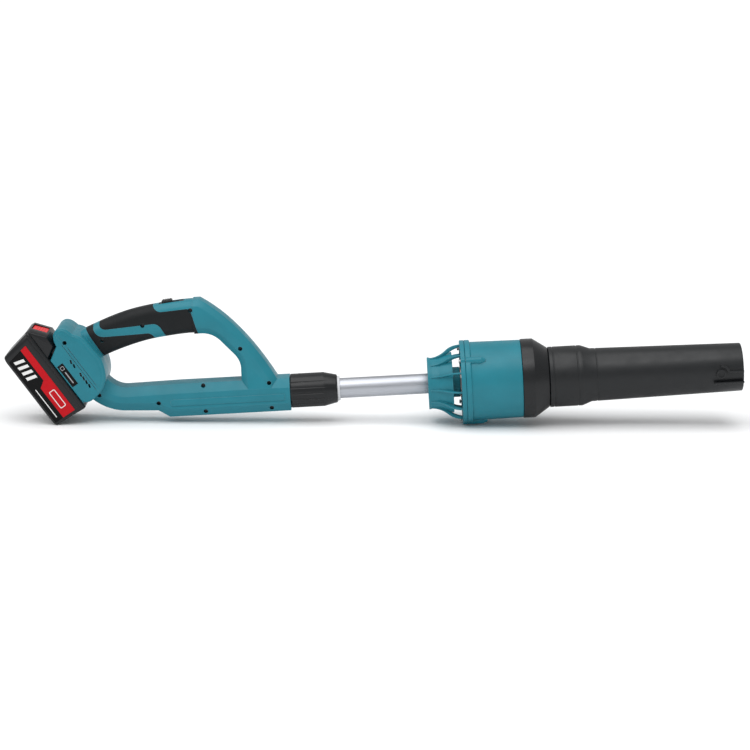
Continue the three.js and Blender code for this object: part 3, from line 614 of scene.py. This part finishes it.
def strut_form(inset=0):
    outline = Outline(-160, STRUT_TOP_Z).line((-117.2, STRUT_TOP_Z)).curve((-62, 103.5), (-16.8, 21.4))
    outline.line((-16.8, -8), (-66, -8), (-66, 36)).curve((-64.8, 48), (-73, 58))
    outline.line((-91.5, 78.6)).curve((-102, 90), (-117, 90.4)).line((-160, 90.4))
    strut = plate(outline, STRUT_HALF, [(8.5, 6)], inset)
    strut = cut(strut, block(-200, -127, -THROUGH, THROUGH, 60, 160))
    for vertex in strut.data.vertices:
        vertex.co.y *= 1 + STRUT_WIDENING * (STRUT_TOP_Z - vertex.co.z)
    return strut


def beam_form(inset=0):
    outline = Outline(30, -24.5).line((-168.3, -24.5), (-183.8, -14.6), (-232.7, -12))
    outline.curve((-258, -9), (-277, 9)).line((-283, 40), (-252, 34))
    outline.curve((-240, 20), (-224.6, 20.3)).line((-149.9, 21.5), (30, 21.5))
    beam = plate(outline, BEAM_HALF, [(12, 8)], inset)
    return cut(beam, block(0, 60, -THROUGH, THROUGH, -60, 60))


def foot_outline():
    outline = Outline(44, 50.8).line((110, 50.8)).curve((121.5, 51.5), (122, 63))
    outline.curve((122.5, 94), (96.4, 104.7)).line((84, 109), (54, 107)).curve((39, 106), (32, 98))
    return outline.curve((14.6, 95), (14.6, 84)).curve((15, 72), (33.1, 69.4))


def foot_form(inset=0):
    panel = plate(foot_outline(), FOOT_HALF, quarter_round(2.2, 2.2, 3), inset)
    ledge = above_level(plate(foot_outline(), LEDGE_HALF, [(3, 2)], inset + 0.05), LEDGE_W)
    shoulder = plate(foot_outline(), SHOULDER_HALF, quarter_round(9, 8, 6), inset - 0.05)
    shoulder = above_level(shoulder, SHOULDER_W)
    return apply_place(united(panel, ledge, shoulder), PACK_FROM_TOOL)


def handle_form(inset=0, crease=0.0):
    forms = [grip_form(inset), strut_form(inset), beam_form(inset), foot_form(inset)]
    if crease:
        forms = [rounded(form, crease, 24, 2) for form in forms]
    return united(*forms)


def stripe():
    outline = Outline(-7.7, -8).line((-161.5, -8)).arc((-161.5, -3.5), 4.5, 270, 90).line((-7.7, 1))
    return rounded(plate(outline, BEAM_HALF + 0.8), 0.5, 60, 3)


def screw_channels():
    heads = [rod_y(x, z, -THROUGH, -seat, SCREW_HOLE_R) for x, z, seat, _ in SHELL_SCREWS]
    shanks = [rod_y(x, z, -seat - 1, seat + 0.6, 1.8, 12) for x, z, seat, _ in SHELL_SCREWS]
    return united(grouped(heads), grouped(shanks))


def vent_slots():
    slot = plate(capsule(6.4, 1.3), THROUGH)
    slots = []
    for u in (62, 69, 84, 90.5, 97, 103.5):
        leaning = Matrix.Translation((u, 0, 73)) @ turn_y(18)
        slots.append(apply_place(duplicate(slot), leaning))
    bpy.data.objects.remove(slot)
    return apply_place(grouped(slots), PACK_FROM_TOOL)


def relief_grooves():
    """Grooves along the foot of the ledge and of the shoulder, on both sides."""
    grooves = []
    for level, start, end, half in ((LEDGE_W, 36, 113, FOOT_HALF), (SHOULDER_W, 44, 108, LEDGE_HALF)):
        for side in (-1, 1):
            faces = sorted((side * (half - GROOVE_DEPTH), side * THROUGH))
            grooves.append(block(start, end, *faces, level - GROOVE_WIDTH, level))
    return apply_place(grouped(grooves), PACK_FROM_TOOL)


def rail_slot():
    throat = block(-30, 107, -22, 22, 40, 56.2)
    return apply_place(united(throat, block(-30, 107, -27, 27, 55.6, 66.4)), PACK_FROM_TOOL)


def rail_lips():
    lips = [block(44, 118, *sides, 51, 55.4) for sides in ((-35, -20), (20, 35))]
    return apply_place(grouped(lips), PACK_FROM_TOOL)


def badge_recess(side):
    faces = sorted((side * (FOOT_HALF - 1), side * (FOOT_HALF + 1)))
    return apply_place(block(56.2, 91.8, *faces, 53.1, 62.7), PACK_FROM_TOOL)


def switch_pocket():
    pocket = block(-17.5, 17.5, -7.6, 7.6, -22, 20)
    return apply_place(pocket, TOOL.inverted() @ SWITCH)


def half_space(side):
    return block(-500, 100, *sorted((side * GAP / 2, side * 80)), -80, 200)


def rear_pad_area():
    outline = Outline(-283, 116).line((-267, 122), (-265.5, 104)).curve((-262, 93.6), (-250, 93.6))
    return outline.line((-191, 95.3)).curve((-186, 95), (-183, 90)).line((-176, 78), (-244, 50))


def front_pad_area():
    outline = Outline(-258.5, 124).line((-257, 109)).curve((-255, 103.6), (-248, 103.6)).line((-182, 108))
    outline.curve((-175.5, 107), (-172, 101)).line((-162, 80), (-118.5, 80), (-129.4, 121))
    outline.curve((-131, 126.5), (-136.5, 126.3)).line((-171, 124)).curve((-183, 125), (-184.5, 145))
    return outline.line((-250, 140))


PAD_AREAS = {"rear": rear_pad_area, "front": front_pad_area}


def shell_body():
    """Both halves in one: outer form, wall, bosses, ribs, bore and every hole but the recesses for the pads and
    the badges.
    """
    shell = united(handle_form(0, 0.5), stripe())
    shell = cut(shell, cut(handle_form(WALL), block(-4, 60, -THROUGH, THROUGH, -60, 60)))
    bosses = [rod_y(x, z, -reach, reach, 4.6, 24) for x, z, _, reach in SHELL_SCREWS]
    ribs = [block(x, x + 2.5, -20, 20, -21, 18) for x in (-60, -95, -130, -165)]
    inner = kept_inside(united(grouped(bosses), grouped(ribs)), handle_form(1))
    shell = united(shell, inner, rail_lips())
    shell = united(cut(shell, rod_x(-176, 60, BORE_R, 64)), tube_x(-2, 40, SPIGOT_R, BORE_R, 64))
    return cut(shell, relief_grooves(), rail_slot(), vent_slots(), switch_pocket(), screw_channels())


class BLOWER_OT_handle_shells(bpy.types.Operator):
    """Models the two halves of the handle with their wall, bosses, vents and screw holes"""

    bl_idname = "blower.handle_shells"
    bl_label = "Handle Shells"

    def execute(self, context):
        whole = shell_body()
        core = handle_form(2)
        for side, name in ((-1, "right"), (1, "left")):
            recesses = [cut(plate(area(), 50), duplicate(core)) for area in PAD_AREAS.values()]
            half = kept_inside(duplicate(whole), half_space(side))
            half = cut(half, badge_recess(side), *recesses)
            rounded(half, context.scene.blower_sizes.edge_round, 50, 2)
            settled(half, f"{name}_shell_moulding", TOOL, "handle", [f"{name}_shell"], "teal_plastic")
        bpy.data.objects.remove(core)
        bpy.data.objects.remove(whole)
        return {"FINISHED"}


class BLOWER_OT_grip_pads(bpy.types.Operator):
    """Models the soft pads let into both sides of the grip"""

    bl_idname = "blower.grip_pads"
    bl_label = "Grip Pads"

    def execute(self, context):
        skin = cut(united(grip_form(), strut_form()), united(grip_form(PAD_DEPTH), strut_form(PAD_DEPTH)))
        skin = cut(skin, foot_form(), switch_pocket(), screw_channels())
        for part, area in PAD_AREAS.items():
            for side, name in ((-1, "right"), (1, "left")):
                band = kept_inside(plate(area(), 50, inset=GAP), half_space(side))
                pad = kept_inside(band, duplicate(skin))
                rounded(pad, context.scene.blower_sizes.pad_round, 50, 3)
                node_name = f"{name}_{part}_grip"
                settled(pad, f"{node_name}_pad", TOOL, "handle", [node_name], "grip_rubber")
        bpy.data.objects.remove(skin)
        return {"FINISHED"}


# ---- Handle trim ------------------------------------------------------------------------------
def rounded_panel(x0, x1, z0, z1, radius):
    outline = Outline(x1, z0 + radius).arc((x1 - radius, z1 - radius), radius, 0, 90, 5)
    outline.arc((x0 + radius, z1 - radius), radius, 90, 180, 5)
    outline.arc((x0 + radius, z0 + radius), radius, 180, 270, 5)
    return outline.arc((x1 - radius, z0 + radius), radius, 270, 355, 5)


def film(outline, side, face, slot):
    """Ink on one side's flat face, at y = face."""
    points = outline.points if isinstance(outline, Outline) else outline
    return painted(apply_place(plate(points, INK_HALF), Matrix.Translation((0, side * face, 0))), slot)


class BLOWER_OT_badges(bpy.types.Operator):
    """Models the small plates let into the battery end of the handle"""

    bl_idname = "blower.badges"
    bl_label = "Badges"

    def execute(self, context):
        for side, name in ((-1, "right"), (1, "left")):
            faces = sorted((side * (FOOT_HALF - 0.7), side * (FOOT_HALF + 0.15)))
            badge = block(56.5, 91.5, *faces, 53.4, 62.4)
            painted(rounded(badge, 0.35, 30, 3), "printed_label")
            frame_mark = film(rounded_panel(59.4, 65, 55.2, 60.6, 1.2), side, FOOT_HALF + 0.15, "grey_ink")
            centre = film(rounded_panel(60.2, 64.2, 56, 59.8, 0.8), side, FOOT_HALF + 0.18, "printed_label")
            bar = film(rounded_panel(68.5, 87.5, 57.1, 58.7, 0.6), side, FOOT_HALF + 0.15, "grey_ink")
            badge = grouped([badge, frame_mark, centre, bar])
            settled(badge, f"{name}_badge_plate", PACK, "handle", [f"{name}_badge"], "printed_label")
        return {"FINISHED"}


class BLOWER_OT_switch(bpy.types.Operator):
    """Models the switch's cover plate and its ridged slider"""

    bl_idname = "blower.switch"
    bl_label = "Switch"

    def execute(self, context):
        slot = apply_place(plate(capsule(21.6, 2.6), 10), Matrix.Rotation(math.pi / 2, 4, "X"))
        cover = rounded(cut(block(-17.2, 17.2, -7.3, 7.3, -3.2, -1), slot), 0.4, 40)
        settled(cover, "switch_cover_plate", SWITCH, "handle", ["switch_plate"], "black_plastic")
        cap = rounded(block(-13.4, 1.4, -6, 6, -0.6, 3.4), 1.3, 40, 4)
        ridges = [
            rounded(block(x - 0.7, x + 0.7, -5, 5, 2, 4.2), 0.45, 40, 3) for x in (-10.5, -7.5, -4.5, -1.5)
        ]
        stem = block(-9.6, -2.4, -2.1, 2.1, -8.4, 0)
        slider = united(cap, stem, *ridges)
        settled(slider, "slider_cap", SWITCH, "slider", ["switch_slider"], "black_plastic")
        return {"FINISHED"}


# ---- Collar and tube --------------------------------------------------------------------------
class BLOWER_OT_collar(bpy.types.Operator):
    """Models the twist collar with its flutes and thumb recess, and the split collet that it squeezes"""

    bl_idname = "blower.collar"
    bl_label = "Collar"

    def execute(self, context):
        collar = turned([
            (0.4, 19.2), (0.4, 22.7), (1.6, COLLAR_R), (46.5, COLLAR_R), (64.4, 19.6), (65.5, 18.6),
            (65.5, 16.6), (44, 19.2),
        ])
        rounded(collar, 0.6, 12, 3)
        flute = rod_x(-2, 80, 1.5, 16, z=-COLLAR_R - 0.6)
        flutes = ring_of(flute, range(-130, 131, 20))
        recess = plate(capsule(37, 4.5), 10, [(1.2, 1.6)])
        place = Matrix.Translation((COLLAR_PIVOT_X, 0, 32)) @ Matrix.Rotation(math.pi / 2, 4, "X")
        cut(collar, flutes, apply_place(recess, place))
        rounded(collar, 0.25, 40, 2)
        settled(collar, "collar_moulding", TOOL, "collar", ["twist_collar"], "black_plastic")
        collet = turned([
            (41, 14.4), (41, 16.6), (43.6, 18.8), (65, 16.2), (65.9, 16.2), (65.9, 17.4), (69, 16.6),
            (69, 14.4),
        ])
        rounded(collet, 0.3, 30, 2)
        slits = [about_x(block(30, 62, -0.6, 0.6, -30, 30), angle) for angle in (45, 135)]
        settled(cut(collet, *slits), "split_collet", TOOL, "handle", ["collet"], "pale_plastic")
        return {"FINISHED"}


class BLOWER_OT_tube(bpy.types.Operator):
    """Models the drawn tube with its rolled ends, and the bush on its inner end"""

    bl_idname = "blower.tube"
    bl_label = "Tube"

    def execute(self, context):
        tube = rounded(tube_x(-105, 204.5, TUBE_R, TUBE_R - 1.5), 0.4, 40, 3)
        settled(tube, "drawn_tube", TOOL, "boom", ["boom_tube"], "tube_aluminium")
        bush = turned([(-111, 8), (-111, 14.3), (-105.3, 14.3), (-105.3, 12.1), (-97, 12.1), (-97, 10)])
        settled(rounded(bush, 0.4, 40, 2), "tube_end_bush", TOOL, "boom", ["tube_bush"], "black_plastic")
        return {"FINISHED"}


# ---- Fan --------------------------------------------------------------------------------------
def at_bosses(piece):
    """Copies of a piece at the four flange bosses, in one mesh. The first piece is used up."""
    return ring_of(apply_place(piece, Matrix.Translation((0, -BOSS_CENTRE_R, 0))), BOSS_ANGLES)


def fin():
    outline = Outline(195, 31).line((195, 36)).curve((207.5, 36.6), (217.5, 45.5))
    outline.curve((226, 53.4), (240, 53.2)).line((240, 50))
    outline.curve((228, 49), (217, 39)).curve((210, 32.6), (204, 31))
    return rounded(plate(outline, 1), 0.45, 40, 2)


class BLOWER_OT_intake_guard(bpy.types.Operator):
    """Models the intake guard: motor cup, curved fins, flange and its screw ears"""

    bl_idname = "blower.intake_guard"
    bl_label = "Intake Guard"

    def execute(self, context):
        cup = turned([
            (191.4, 14.3), (191.4, 36.6), (197.4, 35), (207, 35.6), (226, 42.6), (226, 40.2), (208, 33.2),
            (194.2, 33.2), (194.2, 21), (236, 21), (236, 18.1), (205, 18.1), (205, 14.3),
        ])
        rounded(cup, 0.9, 12, 3)
        seam = FLANGE_SEAM_X - GAP / 2
        flange = rounded(tube_x(FLANGE_X, seam, FLANGE_R, 49.2), 0.9, 30, 3)
        fins = ring_of(fin(), [360 * i / FIN_COUNT + FIN_START for i in range(FIN_COUNT)])
        guard = united(cup, fins, flange, at_bosses(rounded(rod_x(FLANGE_X, seam, 5, 24), 0.7, 40, 3)))
        shanks = at_bosses(rod_x(220, 260, FLANGE_SCREW_R, 20))
        cut(guard, shanks, at_bosses(rod_x(228, FLANGE_X, SCREW_HOLE_R, 24)))
        settled(guard, "guard_moulding", TOOL, "boom", ["intake_guard"], "teal_plastic")
        return {"FINISHED"}


class BLOWER_OT_fan_housing(bpy.types.Operator):
    """Models the fan housing with its flange and the four screw bosses"""

    bl_idname = "blower.fan_housing"
    bl_label = "Fan Housing"

    def execute(self, context):
        seam = FLANGE_SEAM_X + GAP / 2
        wall = turned([
            (seam, 51.8), (seam, FLANGE_R), (FLANGE_END_X, FLANGE_R), (FLANGE_END_X + 0.6, 54.7),
            (HOUSING_END_X, 53.9), (HOUSING_END_X, 51.8),
        ])
        rounded(wall, 0.9, 30, 3)
        boss = united(rod_x(244, 265.2, 5.2, 28), turned_solid([(265, 5.2), (271.5, 2.4)], 28))
        bosses = cut(at_bosses(boss), rod_x(230, 340, 52.4, 112))
        housing = cut(united(wall, bosses), at_bosses(rod_x(230, 263, FLANGE_SCREW_R, 20)))
        rounded(housing, 0.5, 40, 2)
        settled(housing, "housing_moulding", TOOL, "boom", ["fan_housing"], "teal_plastic")
        return {"FINISHED"}


class BLOWER_OT_outlet_cone(bpy.types.Operator):
    """Models the black cone that takes the nozzle, with its two locking pins"""

    bl_idname = "blower.outlet_cone"
    bl_label = "Outlet Cone"

    def execute(self, context):
        cone = turned([
            (313, 49.8), (313, 51.4), (321.8, 51.4), (321.8, 55), (338.3, 55), (358.4, 41.4),
            (358.9, CONE_SPIGOT_R), (401, CONE_SPIGOT_R), (402, 38.3), (402, 37.2), (357, 37.2),
            (336.5, 51.6), (322, 51.6), (321, 49.8),
        ])
        rounded(cone, 0.7, 25, 3)
        pins = [about_x(rounded(rod_y(PIN_X, 0, -41, -38, 2.4), 0.4, 40), angle) for angle in (90, 270)]
        settled(united(cone, *pins), "cone_moulding", TOOL, "boom", ["outlet_cone"], "black_plastic")
        return {"FINISHED"}


# ---- Nozzle -----------------------------------------------------------------------------------
def sector(x0, x1, inner, outer, start, end):
    """Part of a ring about the tube's axis, between two angles above the near side."""
    outline = Outline(inner * math.cos(math.radians(start)), inner * math.sin(math.radians(start)))
    outline.arc((0, 0), outer, start, end, 8).arc((0, 0), inner, end, start + (end - start) / 8, 7)
    place = Matrix.Translation(((x0 + x1) / 2, 0, 0)) @ Matrix.Rotation(-math.pi / 2, 4, "Z")
    return apply_place(plate(outline, (x1 - x0) / 2), place)


def pin_groove(angle):
    """Where a cone pin enters the socket, and where it turns to its lock."""
    start, end = PIN_X - 3.2, PIN_X + 3.2
    entry = sector(350, end, 36, 41.3, angle + BAYONET_TURN - 5, angle + BAYONET_TURN + 5)
    return united(entry, sector(start, end, 36, 41.3, angle - 5, angle + BAYONET_TURN + 5))


def hook_relief():
    """The raised rails, round pocket and hook near the free end, on the near side."""
    rails = [block(585, 626.1, -36.6, -30, -15.2, -13), block(604, 626.1, -37, -30, -0.4, 2.4)]
    pocket = cut(rod_y(594.5, -1.2, -37, -30, 6.4), rod_y(594.5, -1.2, -40, -35.4, 4.6))
    hook = cut(rod_y(594.5, -1.2, -37, -30, 12.6, 48), rod_y(594.5, -1.2, -50, -10, 9.8, 48))
    kept_inside(hook, block(594.5, 620, -60, 0, 0, 30))
    return [rounded(piece, 0.45, 40, 2) for piece in (*rails, pocket, hook)]


class BLOWER_OT_nozzle(bpy.types.Operator):
    """Models the long nozzle: bayonet socket, shoulder, tapered pipe and the hook at its mouth"""

    bl_idname = "blower.nozzle"
    bl_label = "Nozzle"

    def execute(self, context):
        pipe = turned([
            (NOZZLE_X, 39.7), (NOZZLE_X, 41.3), (360, 42), (364.6, 42), (365.1, 41.5), (366.1, 41.5),
            (366.6, 42), (397.6, 42), (398.1, 41.5), (399.1, 41.5), (399.6, 42), (403.5, 42), (406, 41.4),
            (417.6, 37), (424.2, 36.9), (424.7, 36.35), (425.7, 36.35), (426.2, 36.84),
            (NOZZLE_END_X - 1, 33.3), (NOZZLE_END_X, 32.6), (NOZZLE_END_X, 31), (418, 34.6), (404, 39.7),
        ])
        rounded(pipe, 0.45, 20, 2)
        room = turned_solid([(404, 39.7), (418, 34.6), (NOZZLE_END_X + 1, 31)])
        for relief in hook_relief():
            united(pipe, cut(relief, duplicate(room)))
        bpy.data.objects.remove(room)
        cut(pipe, pin_groove(90), pin_groove(270))
        painted(pipe, "nozzle_plastic")
        settled(pipe, "nozzle_pipe", TOOL, "nozzle", ["nozzle_tube"], "black_plastic")
        return {"FINISHED"}


# ---- Battery pack -----------------------------------------------------------------------------
def pack_ring(w, x0, x1, half, radius):
    """A level ring with rounded corners round the pack."""
    corners = (
        (x1 - radius, radius - half, -90), (x1 - radius, half - radius, 0),
        (x0 + radius, half - radius, 90), (x0 + radius, radius - half, 180),
    )
    turns = [(x, y, math.radians(start + step)) for x, y, start in corners for step in range(0, 91, 15)]
    return [(x + radius * math.cos(turn), y + radius * math.sin(turn), w) for x, y, turn in turns]


def case_form(inset, bottom, top):
    """The case from its flat base up, with a rounded lower edge. Its ends lean outwards as they rise."""
    levels = [(bottom, 3.6), (0.6, 2.1), (1.4, 1.05), (2.6, 0.3), (4, 0), (top, 0)]
    rings = []
    for level, tuck in levels:
        lean = 8 * level / CASE_HEIGHT
        edge = inset + tuck
        # A raised floor squeezes the lowest rings together, still one above another.
        height = max(level, bottom + 0.68 - 0.3 * tuck)
        rings.append(pack_ring(height, 3 - lean + edge, 121 + lean / 2 - edge, CASE_HALF - edge, 6))
    return lofted(rings)


def label_area():
    return Outline(12.5, 3.6).line((6.5, 37), (118.5, 37), (117.5, 3.6))


def label_print(side):
    """Generic print: a stepped colour band with a ring in it, four leaning bars and a rule."""
    face = CASE_HALF + 0.02
    band = Outline(8.4, 27).line((60, 27), (66.7, 17), (117.6, 17), (118.15, 36.6), (6.95, 36.6))
    inks = [film(band, side, face, "red_ink")]
    for u, length in ((16, 14), (25, 14), (34, 14), (43, 14)):
        lean = length * 0.28
        bar = Outline(u, 9).line((u + 4.6, 9), (u + 4.6 + lean, 9 + length), (u + lean, 9 + length))
        inks.append(film(bar, side, face, "white_ink"))
    inks.append(film(rounded_panel(64, 112, 9.4, 10.6, 0.5), side, face, "white_ink"))
    inks.append(film(rounded_panel(78, 106, 22, 31.4, 2.2), side, face + 0.02, "white_ink"))
    inks.append(film(rounded_panel(79.1, 104.9, 23.1, 30.3, 1.4), side, face + 0.04, "red_ink"))
    return inks


class BLOWER_OT_battery_case(bpy.types.Operator):
    """Models the battery's tub, recessed on both sides for its labels"""

    bl_idname = "blower.battery_case"
    bl_label = "Battery Case"

    def execute(self, context):
        tub = case_form(0, 0, CASE_HEIGHT)
        room = case_form(2.4, 2.4, CASE_HEIGHT + 0.6)
        middle = block(-20, 140, 0.8 - CASE_HALF, CASE_HALF - 0.8, -5, 60)
        recess = cut(plate(label_area(), THROUGH), middle)
        cut(tub, room, recess)
        rounded(tub, 0.35, 40, 2)
        settled(tub, "battery_tub", PACK, "battery", ["battery_case"], "black_plastic")
        return {"FINISHED"}


class BLOWER_OT_battery_cover(bpy.types.Operator):
    """Models the battery's cover with its rails, blade slots and sloping nose"""

    bl_idname = "blower.battery_cover"
    bl_label = "Battery Cover"

    def execute(self, context):
        rings = [pack_ring(CASE_HEIGHT + GAP, LID_X, LID_END_X, CASE_HALF, 6)]
        for step in range(6):
            turn = math.radians(18 * step)
            tuck = 2.4 * (1 - math.cos(turn))
            height = 47.6 + 2.6 * math.sin(turn)
            rings.append(pack_ring(height, LID_X + tuck, LID_END_X - tuck, CASE_HALF - tuck, 6 - tuck / 3))
        neck = rounded(block(36, 104, -21.5, 21.5, 49, 56.6), 0.5, 40, 2)
        rails = rounded(block(34, 104, -26.4, 26.4, 56.4, 65.4), 0.9, 40, 3)
        nose_outline = Outline(LID_X, 30).line((LID_X, 53), (13.5, 68.6), (31.8, 68.4))
        nose_outline.line((42.4, 50), (42.4, 30))
        nose = above_level(plate(nose_outline, NOSE_HALF, NOSE_RIM), CASE_HEIGHT + GAP)
        rounded(nose, 0.8, 24, 3)
        nose_room = kept_inside(plate(nose_outline, NOSE_HALF, NOSE_RIM, 3), block(8, 39, -28, 28, 40, 64))
        cover = united(lofted(rings), neck, rails, nose)
        blades = [block(84, 110, y - 1.5, y + 1.5, 57, 63.8) for y in (-9, 9)]
        button_place = PACK.inverted() @ BUTTON
        well = apply_place(rounded(block(-11.4, 10.9, -16.3, 16.3, -9, 12), 1, 40, 3), button_place)
        spring_room = apply_place(block(-3.4, 3.4, -3.4, 3.4, -13, -8), button_place)
        cut(cover, *blades, block(44, 82, -18, 18, 40, 62), well, nose_room)
        cut(cover, block(4, 112, -30, 30, 40, 47.6), spring_room)
        settled(cover, "battery_lid", PACK, "battery", ["battery_cover"], "black_plastic")
        return {"FINISHED"}


class BLOWER_OT_battery_labels(bpy.types.Operator):
    """Models the label sheets on both sides of the battery, with generic print"""

    bl_idname = "blower.battery_labels"
    bl_label = "Battery Labels"

    def execute(self, context):
        for side, name in ((-1, "right"), (1, "left")):
            faces = sorted((side * (CASE_HALF - 0.5), side * (CASE_HALF + 0.02)))
            sheet = kept_inside(plate(label_area(), THROUGH, inset=GAP), block(-20, 140, *faces, -5, 60))
            sheet = grouped([painted(sheet, "printed_label"), *label_print(side)])
            settled(sheet, f"{name}_label_sheet", PACK, "battery", [f"{name}_battery_label"], "printed_label")
        return {"FINISHED"}


class BLOWER_OT_release_button(bpy.types.Operator):
    """Models the ribbed button that frees the battery"""

    bl_idname = "blower.release_button"
    bl_label = "Release Button"

    def execute(self, context):
        face = rounded(block(-10.8, 10.3, -15.8, 15.8, -5.5, -0.4), 0.9, 40, 4)
        ribs = [rounded(block(x - 0.5, x + 0.5, -12, 12, -1, 0.3), 0.3, 40, 2) for x in (-5, -1.5, 2, 5.5)]
        button = united(face, *ribs)
        settled(button, "button_moulding", BUTTON, "latch", ["release_button"], "red_plastic")
        return {"FINISHED"}


class BLOWER_OT_inner_parts(bpy.types.Operator):
    """Gives the parts that keep their shape their finishes: screws, motor, fan, boards and cells"""

    bl_idname = "blower.inner_parts"
    bl_label = "Inner Parts"

    def execute(self, context):
        for part in frame["record"]["subparts"]:
            for material_slot in frame["nodes"][part["node"]].material_slots:
                material_slot.material = finish(part["material_slot"])
        return {"FINISHED"}


# ---- Stage ------------------------------------------------------------------------------------
CAMERA_LENS = 120
CAMERA_DISTANCE = 3.475
CAMERA_ELEVATION = 12
CAMERA_ROLL = 0.48
CAMERA_AIM = Vector((0, 0, 0.0667))
FLOOR_HALF = 30


def lit_from(name, kind, place, strength):
    lamp = bpy.data.lights.new(name, kind)
    lamp.energy = strength
    light = bpy.data.objects.new(name, lamp)
    bpy.context.scene.collection.objects.link(light)
    light.location = place
    light.rotation_euler = (CAMERA_AIM - Vector(place)).to_track_quat("-Z", "Y").to_euler()
    return lamp


class BLOWER_OT_stage(bpy.types.Operator):
    """Sets the pale floor, the soft studio light and the camera"""

    bl_idname = "blower.stage"
    bl_label = "Stage"

    def execute(self, context):
        scene = context.scene
        stage = scene.blower_stage
        bpy.ops.mesh.primitive_plane_add(size=2 * FLOOR_HALF, location=(0, 0, -0.0004))
        floor = made()
        floor.name = "floor"
        material, tree, shader = blank_material("pale_floor")
        clouds = noise(tree, object_coordinates(tree), 3)
        floor_colour = blended(tree, clouds, (0.93, 0.94, 0.95), (0.95, 0.955, 0.96))
        tree.links.new(floor_colour, shader.inputs["Base Color"])
        shader.inputs["Roughness"].default_value = 0.7
        shader.inputs["Specular IOR Level"].default_value = 0.2
        floor.data.materials.append(material)
        scene.world = bpy.data.worlds.new("studio")
        scene.world.use_nodes = True
        scene.world.node_tree.nodes["Background"].inputs["Color"].default_value = (1, 1, 1, 1)
        scene.world.node_tree.nodes["Background"].inputs["Strength"].default_value = stage.world_strength
        ceiling = lit_from("soft_ceiling", "SUN", (-0.5, -0.8, 3), stage.ceiling_strength)
        ceiling.angle = math.radians(70)
        strip = lit_from("strip_box", "AREA", (0.1, -1.1, 1.9), stage.strip_power)
        strip.shape = "RECTANGLE"
        strip.size, strip.size_y = (2.6, 0.35)
        scene.view_settings.view_transform = "Standard"
        eye = bpy.data.cameras.new("camera")
        eye.lens = CAMERA_LENS
        camera = bpy.data.objects.new("camera", eye)
        scene.collection.objects.link(camera)
        rise = math.radians(CAMERA_ELEVATION)
        camera.location = CAMERA_AIM + CAMERA_DISTANCE * Vector((0, -math.cos(rise), math.sin(rise)))
        roll = Matrix.Rotation(math.radians(CAMERA_ROLL), 4, "Z")
        camera.rotation_euler = (Matrix.Rotation(math.pi / 2 - rise, 4, "X") @ roll).to_euler()
        scene.camera = camera
        return {"FINISHED"}


# ---- Settings ---------------------------------------------------------------------------------
def colour_setting(name, description, default):
    return FloatVectorProperty(
        name=name, description=description, default=default, subtype="COLOR", size=3, min=0, max=1
    )


class BlowerColours(bpy.types.PropertyGroup):
    shell: colour_setting("Shell", "Moulded handle and fan housing", (0.014, 0.185, 0.240))
    black: colour_setting("Black", "Collar, cone and battery plastic", (0.006, 0.0068, 0.008))
    nozzle: colour_setting("Nozzle", "Nozzle plastic", (0.007, 0.0082, 0.0095))
    rubber: colour_setting("Rubber", "Grip pads", (0.006, 0.0075, 0.0085))
    button: colour_setting("Button", "Release button", (0.75, 0.022, 0.025))
    ink: colour_setting("Ink", "Red print on the battery label", (0.50, 0.006, 0.012))
    tube: colour_setting("Tube", "Drawn aluminium", (0.44, 0.455, 0.49))


class BlowerSizes(bpy.types.PropertyGroup):
    round_sides: IntProperty(
        name="Round Sides", description="Facets round a turned piece", default=112, min=24
    )
    edge_round: FloatProperty(
        name="Edge Round", description="Radius on moulded edges, in millimetres", default=0.35
    )
    pad_round: FloatProperty(
        name="Pad Round", description="Radius on the grip pads' edges, in millimetres", default=0.5
    )


class BlowerStage(bpy.types.PropertyGroup):
    world_strength: FloatProperty(name="World", description="Brightness of the white surround", default=0.55)
    ceiling_strength: FloatProperty(name="Ceiling", description="Soft light from above", default=2.1)
    strip_power: FloatProperty(
        name="Strip", description="Long softbox over the front", default=5, subtype="POWER"
    )


class BLOWER_PT_pieces(bpy.types.Panel):
    """Lists what can be built"""

    bl_idname = "BLOWER_PT_pieces"
    bl_label = "Stick Blower"
    bl_space_type = "VIEW_3D"
    bl_region_type = "UI"
    bl_category = "Blower"

    def draw(self, context):
        for group in (context.scene.blower_colours, context.scene.blower_sizes, context.scene.blower_stage):
            for name in group.__annotations__:
                self.layout.prop(group, name)
        for operator in OPERATORS:
            self.layout.operator(operator.bl_idname)


GROUPS = {"blower_colours": BlowerColours, "blower_sizes": BlowerSizes, "blower_stage": BlowerStage}
OPERATORS = (
    BLOWER_OT_stage,
    BLOWER_OT_handle_shells,
    BLOWER_OT_grip_pads,
    BLOWER_OT_badges,
    BLOWER_OT_switch,
    BLOWER_OT_collar,
    BLOWER_OT_tube,
    BLOWER_OT_intake_guard,
    BLOWER_OT_fan_housing,
    BLOWER_OT_outlet_cone,
    BLOWER_OT_nozzle,
    BLOWER_OT_battery_case,
    BLOWER_OT_battery_cover,
    BLOWER_OT_battery_labels,
    BLOWER_OT_release_button,
    BLOWER_OT_inner_parts,
)
CLASSES = (*GROUPS.values(), *OPERATORS, BLOWER_PT_pieces)


def register():
    for cls in CLASSES:
        bpy.utils.register_class(cls)
    for name, group in GROUPS.items():
        setattr(bpy.types.Scene, name, PointerProperty(type=group))


def unregister():
    for name in GROUPS:
        delattr(bpy.types.Scene, name)
    for cls in reversed(CLASSES):
        bpy.utils.unregister_class(cls)


def main():
    register()
    for operator in OPERATORS:
        group, name = operator.bl_idname.split(".")
        getattr(getattr(bpy.ops, group), name)()


if __name__ == "__main__":
    main()
